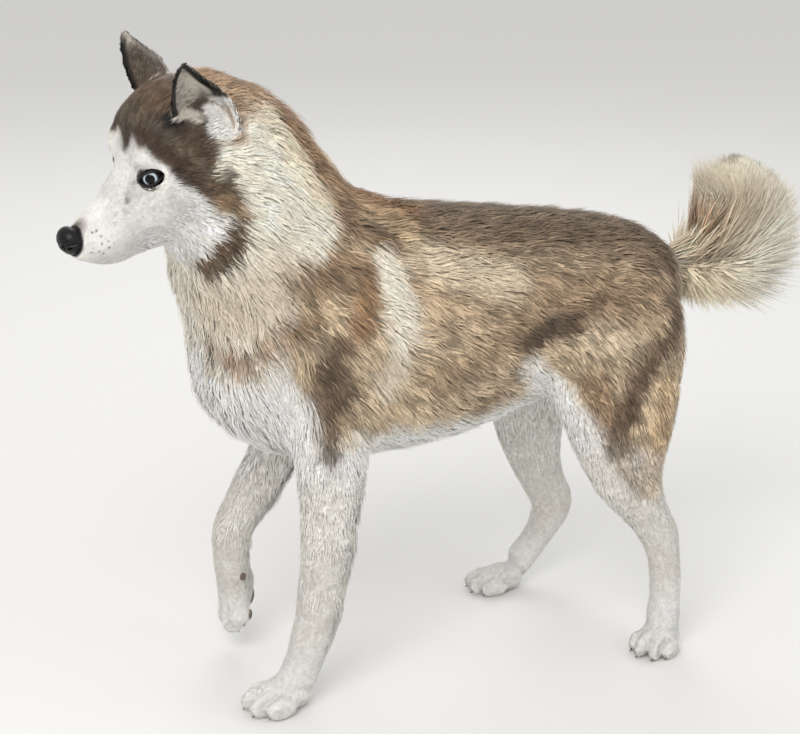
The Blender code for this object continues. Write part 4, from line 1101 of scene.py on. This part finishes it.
def tuftMesh(name, paths, widths, leans, colours, uvs, long):
    # three-sided tapering tufts, closed at the root and drawn out to a point
    count = len(paths)
    points, shades, maps, soft = [], [], [], []
    normals = leans[:, 0]
    for at, taper in ((0, 0.9), (1, 0.95)) if long else ((0, 1.15),):
        ahead = unit(paths[:, at + 1] - paths[:, max(at - 1, 0)])
        across = unit(np.cross(ahead, normals))
        rise = np.cross(across, ahead)
        wide = (widths * taper)[:, None]
        points += [paths[:, at] - across * wide / 2, paths[:, at] + across * wide / 2]
        points.append(paths[:, at] + rise * wide * furSet["round"])
        shades += [colours[at]] * 3
        soft += [leans[:, at]] * 3
        maps += [(-0.5, at / 2 - 0.5), (0.5, at / 2 - 0.5), (0.0, at / 2 - 0.5)]
    points.append(paths[:, 2])
    shades.append(colours[2])
    soft.append(leans[:, 2])
    maps.append((0.0, 0.5))
    each = len(points)
    faces = [(0, 1, 2)]
    if long:
        for k in range(3):
            a, b = k, (k + 1) % 3
            faces += [(a, b + 3, b), (a, a + 3, b + 3)]
    last = each - 4
    faces += [(last + k, each - 1, last + (k + 1) % 3) for k in range(3)]
    faces = np.array(faces)
    places = np.stack(points, axis=1).reshape(-1, 3)
    places[:, 2] = np.maximum(places[:, 2], 0.0006)
    triangles = (faces[None] + (np.arange(count) * each)[:, None, None]).reshape(-1, 3)
    thing = rebuilt(name, places, triangles)
    setColours(thing.data, np.stack(shades, axis=1).reshape(-1, 3))
    layer = thing.data.uv_layers.new(name="OFBake")
    maps = np.array(maps) * furSet["patch"]
    corner = (uvs[:, None] + maps[None]).reshape(-1, 2)[triangles.ravel()]
    layer.data.foreach_set("uv", corner.astype(np.float32).ravel())
    # shaded mostly as the coat's surface is, where that faces the same way as the tuft
    soft, own = np.stack(soft, axis=1).reshape(-1, 3), normalsOf(thing.data)
    share = (furSet["soften"] * ease(-0.9, 0.0, np.sum(soft * own, axis=1)))[:, None]
    thing.data.normals_split_custom_set_from_vertices(unit(soft * share + own * (1 - share)))
    return thing


def tuftColours(roots, paths):
    # the coat's markings are read where a tuft shows. Dark hair is paler toward its root, as agouti hair is,
    # and every tuft is painted a little darker at its root as painted shade deep in the coat
    shown = paths[:, 1] * 0.6 + paths[:, 2] * 0.4
    colour, rough = markings(shown)
    colour = earColours(shown, roots["normal"], colour, ease(0.3, 0.7, roots["ears"]))
    colour = lidColours(shown, colour, 0.0048)
    onTail = roots["place"][:, 0] - shift[0] > tailCoat["start"]
    light = colour.mean(axis=1)
    long = ease(0.010, 0.025, roots["sizes"][:, 0])
    mottle = 0.05 + 0.24 * fade(0.35, 0.60, light)
    shade = np.exp(chance.normal(0, 1, len(colour)) * mottle + roots["shade"] * mottle * 1.1 + 0.09 * rough)
    colour = np.clip(colour * np.clip(shade, 0.55, 1.6)[:, None], 0.004, 0.90)
    agouti = (long * fade(0.16, 0.40, light) * 0.36)[:, None]
    under = colour + agouti * (paint["sandy"] * 0.8 - colour)
    # dark tufts end in darker tips at random; pale tufts are painted a little lighter at the tip as painted
    # light, and every root a little darker as painted shade
    tip = colour * np.where(light < 0.25, chance.uniform(0.55, 1.05, len(colour)), 1.05)[:, None]
    under, middle, tip = under * 0.95, under * 0.4 + colour * 0.6, np.clip(tip, 0.003, 0.92)
    # the plume's long hair takes each marking where it passes it
    for tone, at in ((middle, 1), (tip, 2)):
        seen = markings(paths[onTail, at])[0]
        tone[onTail] = np.clip(seen * shade[onTail, None], 0.003, 0.92)
    # painted shade: the plume's roots are darker than the hair above them
    under[onTail] = middle[onTail] * 0.85
    return [under, middle, tip]


def makeCoat(skin):
    roots = sowRoots(skin)
    print("roots sown:", len(roots["place"]))
    paths, keep = growPaths(roots, treeOf(skin.data))
    roots, paths = {key: value[keep] for key, value in roots.items()}, paths[keep]
    colours = tuftColours(roots, paths)
    print("tufts grown and coloured")
    here, body = toHead(roots["place"]), roots["place"] - shift
    onHead = (here[:, 0] < 0.20) & (here[:, 2] > -0.075)
    onTail = body[:, 0] > 0.272
    onLegs = (body[:, 2] < 0.255) & ~onTail
    area = np.where(onHead, 0, np.where(onTail, 3, np.where(onLegs, 2, 1)))
    isLong = (roots["sizes"][:, 0] > furSet["longFrom"]) | onTail
    made = []
    for number, (label, slotName) in enumerate((("headCoat", "coat_head"), ("bodyCoat", "coat_body"),
                                                ("legCoat", "coat_legs"), ("tailCoat", "coat_tail"))):
        for long, kind, faces in ((True, "Long", 10), (False, "Short", 4)):
            chosen = np.where((area == number) & (isLong == long))[0]
            parts = math.ceil(len(chosen) * faces / furSet["mostFaces"])
            for part in range(parts):
                some = chosen[part::parts]
                piece = tuftMesh(f"{label}{kind}{part + 1}", paths[some],
                                 roots["sizes"][some, 3] * chance.uniform(0.8, 1.2, len(some)),
                                 roots["leans"][some], [c[some] for c in colours], roots["uv"][some], long)
                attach(piece, "root")
                made.append(piece)
                print(piece.name, len(piece.data.polygons))
    return made


# Materials

def newMaterial(name, roughness=0.6):
    material = bpy.data.materials.new(name)
    material.use_nodes = True
    shader = material.node_tree.nodes["Principled BSDF"]
    shader.inputs["Roughness"].default_value = roughness
    return material, material.node_tree, shader


def patternIn(tree, kind):
    # a texture that is read at the piece's own places
    where, pattern = tree.nodes.new("ShaderNodeTexCoord"), tree.nodes.new(kind)
    tree.links.new(where.outputs["Object"], pattern.inputs["Vector"])
    return pattern


def addBump(tree, shader, height, strength, distance):
    bump = tree.nodes.new("ShaderNodeBump")
    bump.inputs["Strength"].default_value, bump.inputs["Distance"].default_value = strength, distance
    tree.links.new(height, bump.inputs["Height"])
    tree.links.new(bump.outputs["Normal"], shader.inputs["Normal"])
    return bump


def rangeIn(tree, source, low, high):
    # a value from 0 to 1 as one from low to high
    node = tree.nodes.new("ShaderNodeMapRange")
    node.inputs["To Min"].default_value, node.inputs["To Max"].default_value = low, high
    tree.links.new(source, node.inputs["Value"])
    return node


def scaledIn(tree, colour, factor):
    node = tree.nodes.new("ShaderNodeVectorMath")
    node.operation = "SCALE"
    tree.links.new(colour, node.inputs[0])
    tree.links.new(factor, node.inputs["Scale"])
    return node.outputs[0]


def strandGroup():
    # fine streaks and soft blotches over a colour, for skin and hair alike
    group = bpy.data.node_groups.new("strandShade", "ShaderNodeTree")
    for name, kind, way in (("Colour", "NodeSocketColor", "INPUT"), ("Grain", "NodeSocketFloat", "INPUT"),
                            ("Amount", "NodeSocketFloat", "INPUT"), ("Colour", "NodeSocketColor", "OUTPUT"),
                            ("Roughness", "NodeSocketFloat", "OUTPUT")):
        group.interface.new_socket(name, in_out=way, socket_type=kind)
    nodes, links = group.nodes, group.links
    start, end = nodes.new("NodeGroupInput"), nodes.new("NodeGroupOutput")
    grain = patternIn(group, "ShaderNodeTexNoise")
    grain.inputs["Detail"].default_value = 3.0
    links.new(start.outputs["Grain"], grain.inputs["Scale"])
    centred = rangeIn(group, grain.outputs["Fac"], -0.5, 0.5)
    centred.inputs["From Min"].default_value, centred.inputs["From Max"].default_value = 0.3, 0.7
    factor = nodes.new("ShaderNodeMath")
    factor.operation = "MULTIPLY_ADD"
    factor.inputs[2].default_value = 1.0
    links.new(centred.outputs["Result"], factor.inputs[0])
    links.new(start.outputs["Amount"], factor.inputs[1])
    links.new(scaledIn(group, start.outputs["Colour"], factor.outputs[0]), end.inputs["Colour"])
    links.new(rangeIn(group, grain.outputs["Fac"], 0.50, 0.68).outputs["Result"], end.inputs["Roughness"])
    return group


coatLooks = {"coatHair": {"grain": 260.0, "amount": 0.35, "sheen": 0.12, "specular": 0.30, "bump": 0.0},
             "coatSkin": {"grain": 420.0, "amount": 0.25, "sheen": 0.0, "specular": 0.20, "bump": 0.35}}
skinGrain = {"scale": 900.0, "depth": 0.001}


def coatMaterial(name, group):
    # the painted colour under fine streaks, and on the skin a fine grain
    look = coatLooks[name]
    material, tree, shader = newMaterial(name)
    colour = tree.nodes.new("ShaderNodeAttribute")
    colour.attribute_name = "coat"
    strand = tree.nodes.new("ShaderNodeGroup")
    strand.node_tree = group
    strand.inputs["Grain"].default_value = look["grain"]
    strand.inputs["Amount"].default_value = look["amount"]
    tree.links.new(colour.outputs["Color"], strand.inputs["Colour"])
    tree.links.new(strand.outputs["Colour"], shader.inputs["Base Color"])
    tree.links.new(strand.outputs["Roughness"], shader.inputs["Roughness"])
    shader.inputs["Sheen Weight"].default_value = look["sheen"]
    shader.inputs["Specular IOR Level"].default_value = look["specular"]
    if look["bump"]:
        grain = patternIn(tree, "ShaderNodeTexNoise")
        grain.inputs["Scale"].default_value = skinGrain["scale"]
        addBump(tree, shader, grain.outputs["Fac"], look["bump"], skinGrain["depth"])
    return material


# colour, roughness, cells to the metre and their depth
leatherLooks = {"lidLeather": ((0.010, 0.009, 0.009), 0.35, 1400.0, 0.0001),
                "noseLeather": ((0.0035, 0.0032, 0.0035), 0.38, 1300.0, 0.0002),
                "clawHorn": ((0.060, 0.045, 0.038), 0.40, 500.0, 0.0001),
                "padLeather": ((0.130, 0.098, 0.080), 0.75, 900.0, 0.0003)}


def leatherMaterial(name):
    tone, roughness, scale, depth = leatherLooks[name]
    material, tree, shader = newMaterial(name, roughness)
    shader.inputs["Specular IOR Level"].default_value = 0.28
    cells = patternIn(tree, "ShaderNodeTexVoronoi")
    cells.inputs["Scale"].default_value = scale
    cells.feature = "SMOOTH_F1"
    ramp = tree.nodes.new("ShaderNodeValToRGB")
    for stop, factor in zip(ramp.color_ramp.elements, (1.7, 0.6)):
        stop.color = (*(part * factor for part in tone), 1)
    tree.links.new(cells.outputs["Distance"], ramp.inputs["Fac"])
    tree.links.new(ramp.outputs["Color"], shader.inputs["Base Color"])
    addBump(tree, shader, cells.outputs["Distance"], 0.6, depth).invert = True
    return material


def eyeMaterial():
    material, tree, shader = newMaterial("paleEye", 0.12)
    nodes, links = tree.nodes, tree.links
    gaze = nodes.new("ShaderNodeAttribute")
    gaze.attribute_name = "gaze"
    parts = nodes.new("ShaderNodeSeparateXYZ")
    links.new(gaze.outputs["Vector"], parts.inputs["Vector"])
    ramp = nodes.new("ShaderNodeValToRGB")
    stops = ramp.color_ramp.elements
    pupil, iris = eyeSet["pupil"] / gazeUnit, eyeSet["iris"] / gazeUnit
    stops[0].position, stops[0].color = pupil - 0.02, (0.002, 0.002, 0.003, 1)
    stops[1].position, stops[1].color = pupil + 0.03, (0.16, 0.22, 0.27, 1)
    for at, tone in ((pupil + 0.08, (0.60, 0.68, 0.72, 1)), (iris - 0.15, (0.50, 0.59, 0.64, 1)),
                     (iris - 0.06, (0.12, 0.16, 0.19, 1)), (iris + 0.02, (0.012, 0.010, 0.010, 1))):
        stop = stops.new(at)
        stop.color = tone
    links.new(parts.outputs["X"], ramp.inputs["Fac"])
    # fibres that run out from the pupil
    turn = nodes.new("ShaderNodeMath")
    turn.operation = "ARCTAN2"
    links.new(parts.outputs["Y"], turn.inputs[0])
    links.new(parts.outputs["Z"], turn.inputs[1])
    ray = nodes.new("ShaderNodeTexNoise")
    ray.noise_dimensions = "2D"
    ray.inputs["Scale"].default_value = 9.0
    flat = nodes.new("ShaderNodeCombineXYZ")
    links.new(turn.outputs[0], flat.inputs["X"])
    links.new(flat.outputs["Vector"], ray.inputs["Vector"])
    light = rangeIn(tree, ray.outputs["Fac"], 0.6, 1.35)
    shaded = scaledIn(tree, ramp.outputs["Color"], light.outputs["Result"])
    links.new(shaded, shader.inputs["Base Color"])
    shader.inputs["Specular IOR Level"].default_value = 0.05
    shader.inputs["Coat Weight"].default_value = 0.35
    shader.inputs["Coat Roughness"].default_value = 0.03
    return material


# Making

skin = makeSkin()
print("skin remeshed,", len(skin.data.vertices), "points")
shapeSkin(skin)
thinSkin(skin)
skinUv = unwrapSkin(skin)
print("skin unwrapped")
skinPlaces, skinNormals = placesOf(skin.data), normalsOf(skin.data)
skinColour = markings(skinPlaces)[0]
skinColour = earColours(skinPlaces, skinNormals, skinColour, ease(0.3, 0.7, earShare(skinPlaces)))
# painted shade: the skin between the tufts is a little darker than the hair that grows from it
skinColour = skinColour * 0.97
skinColour = lidColours(skinPlaces, skinColour, 0.0042)
lips = distanceTo(mirrored(toHead(skinPlaces)), mouthPath)
skinColour += (fade(0.0008, 0.0022, lips) * 0.8)[:, None] * (paint["dark"] - skinColour)
setColours(skin.data, skinColour)
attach(skin, "root")
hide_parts(*[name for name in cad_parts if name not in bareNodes])

strands = strandGroup()
skin.data.materials.append(coatMaterial("coatSkin", strands))
hair = coatMaterial("coatHair", strands)
for piece in makeCoat(skin):
    piece.data.materials.append(hair)

eyeLook, rimLook = eyeMaterial(), leatherMaterial("lidLeather")
for way in (-1, 1):
    ball, rim = makeEye(way)
    ball.data.materials.append(eyeLook)
    rim.data.materials.append(rimLook)
    for piece in (ball, rim):
        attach(piece, "root")
    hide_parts("left_eye" if way < 0 else "right_eye")
nose = makeNose()
nose.data.materials.append(leatherMaterial("noseLeather"))
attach(nose, "root")
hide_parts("nose")
horn = leatherMaterial("clawHorn")
pads = [makeClaws(key) for key in pawSet]
for piece in pads:
    piece.data.materials.append(horn)
pads.append(makePads())
pads[-1].data.materials.append(leatherMaterial("padLeather"))
for piece in pads:
    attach(piece, "root")
print("eyes, nose, claws and pads made")


# Floor, light and camera

stageSet = {"floor": (0.84, 0.84, 0.83), "world": 0.72, "key": 54.0, "fill": 9.0, "rim": 18.0}


def makeStage():
    bpy.ops.object.select_all(action="DESELECT")
    bpy.ops.mesh.primitive_plane_add(size=14.0, location=(0, 0, 0))
    floor = bpy.context.view_layer.objects.active
    floor.name = floor.data.name = "floor"
    openMesh(floor)
    bpy.ops.mesh.subdivide(number_cuts=6)
    closeMesh()
    material, tree, shader = newMaterial("paleFloor", 0.85)
    cloud = patternIn(tree, "ShaderNodeTexNoise")
    cloud.inputs["Scale"].default_value = 1.2
    ramp = tree.nodes.new("ShaderNodeValToRGB")
    tone = stageSet["floor"]
    ramp.color_ramp.elements[0].color = (*(c * 0.985 for c in tone), 1)
    ramp.color_ramp.elements[1].color = (*tone, 1)
    tree.links.new(cloud.outputs["Fac"], ramp.inputs["Fac"])
    tree.links.new(ramp.outputs["Color"], shader.inputs["Base Color"])
    floor.data.materials.append(material)


def addLamp(name, place, size, power, warmth=(1, 1, 1)):
    bpy.ops.object.light_add(type="AREA", location=place)
    lamp = bpy.context.view_layer.objects.active
    lamp.name = name
    lamp.data.size, lamp.data.energy, lamp.data.color = size, power, warmth
    aim = Vector((0, 0, 0.35)) - Vector(place)
    lamp.rotation_euler = aim.to_track_quat("-Z", "Y").to_euler()


makeStage()
world = bpy.data.worlds.new("studio")
world.use_nodes = True
world.node_tree.nodes["Background"].inputs["Color"].default_value = (1.0, 0.99, 0.975, 1)
world.node_tree.nodes["Background"].inputs["Strength"].default_value = stageSet["world"]
bpy.context.scene.world = world
addLamp("keyLamp", (-1.6, -2.0, 2.6), 1.8, stageSet["key"], (1.0, 0.98, 0.95))
addLamp("fillLamp", (2.2, -1.8, 1.6), 2.2, stageSet["fill"], (0.95, 0.98, 1.0))
addLamp("rimLamp", (0.6, 2.2, 2.4), 1.6, stageSet["rim"])

cameraSet = {"place": (-0.84488, -1.88592, 1.02), "pitch": 72.0, "heading": -22.5, "lens": 85.05}
cameraTurn = (math.radians(cameraSet["pitch"]), 0, math.radians(cameraSet["heading"]))
bpy.ops.object.camera_add(location=cameraSet["place"], rotation=cameraTurn)
bpy.context.scene.view_settings.view_transform = "Standard"
camera = bpy.context.view_layer.objects.active
camera.name = "camera"
camera.data.lens, camera.data.sensor_width = cameraSet["lens"], 36.0
bpy.context.scene.camera = camera
print("stage ready")
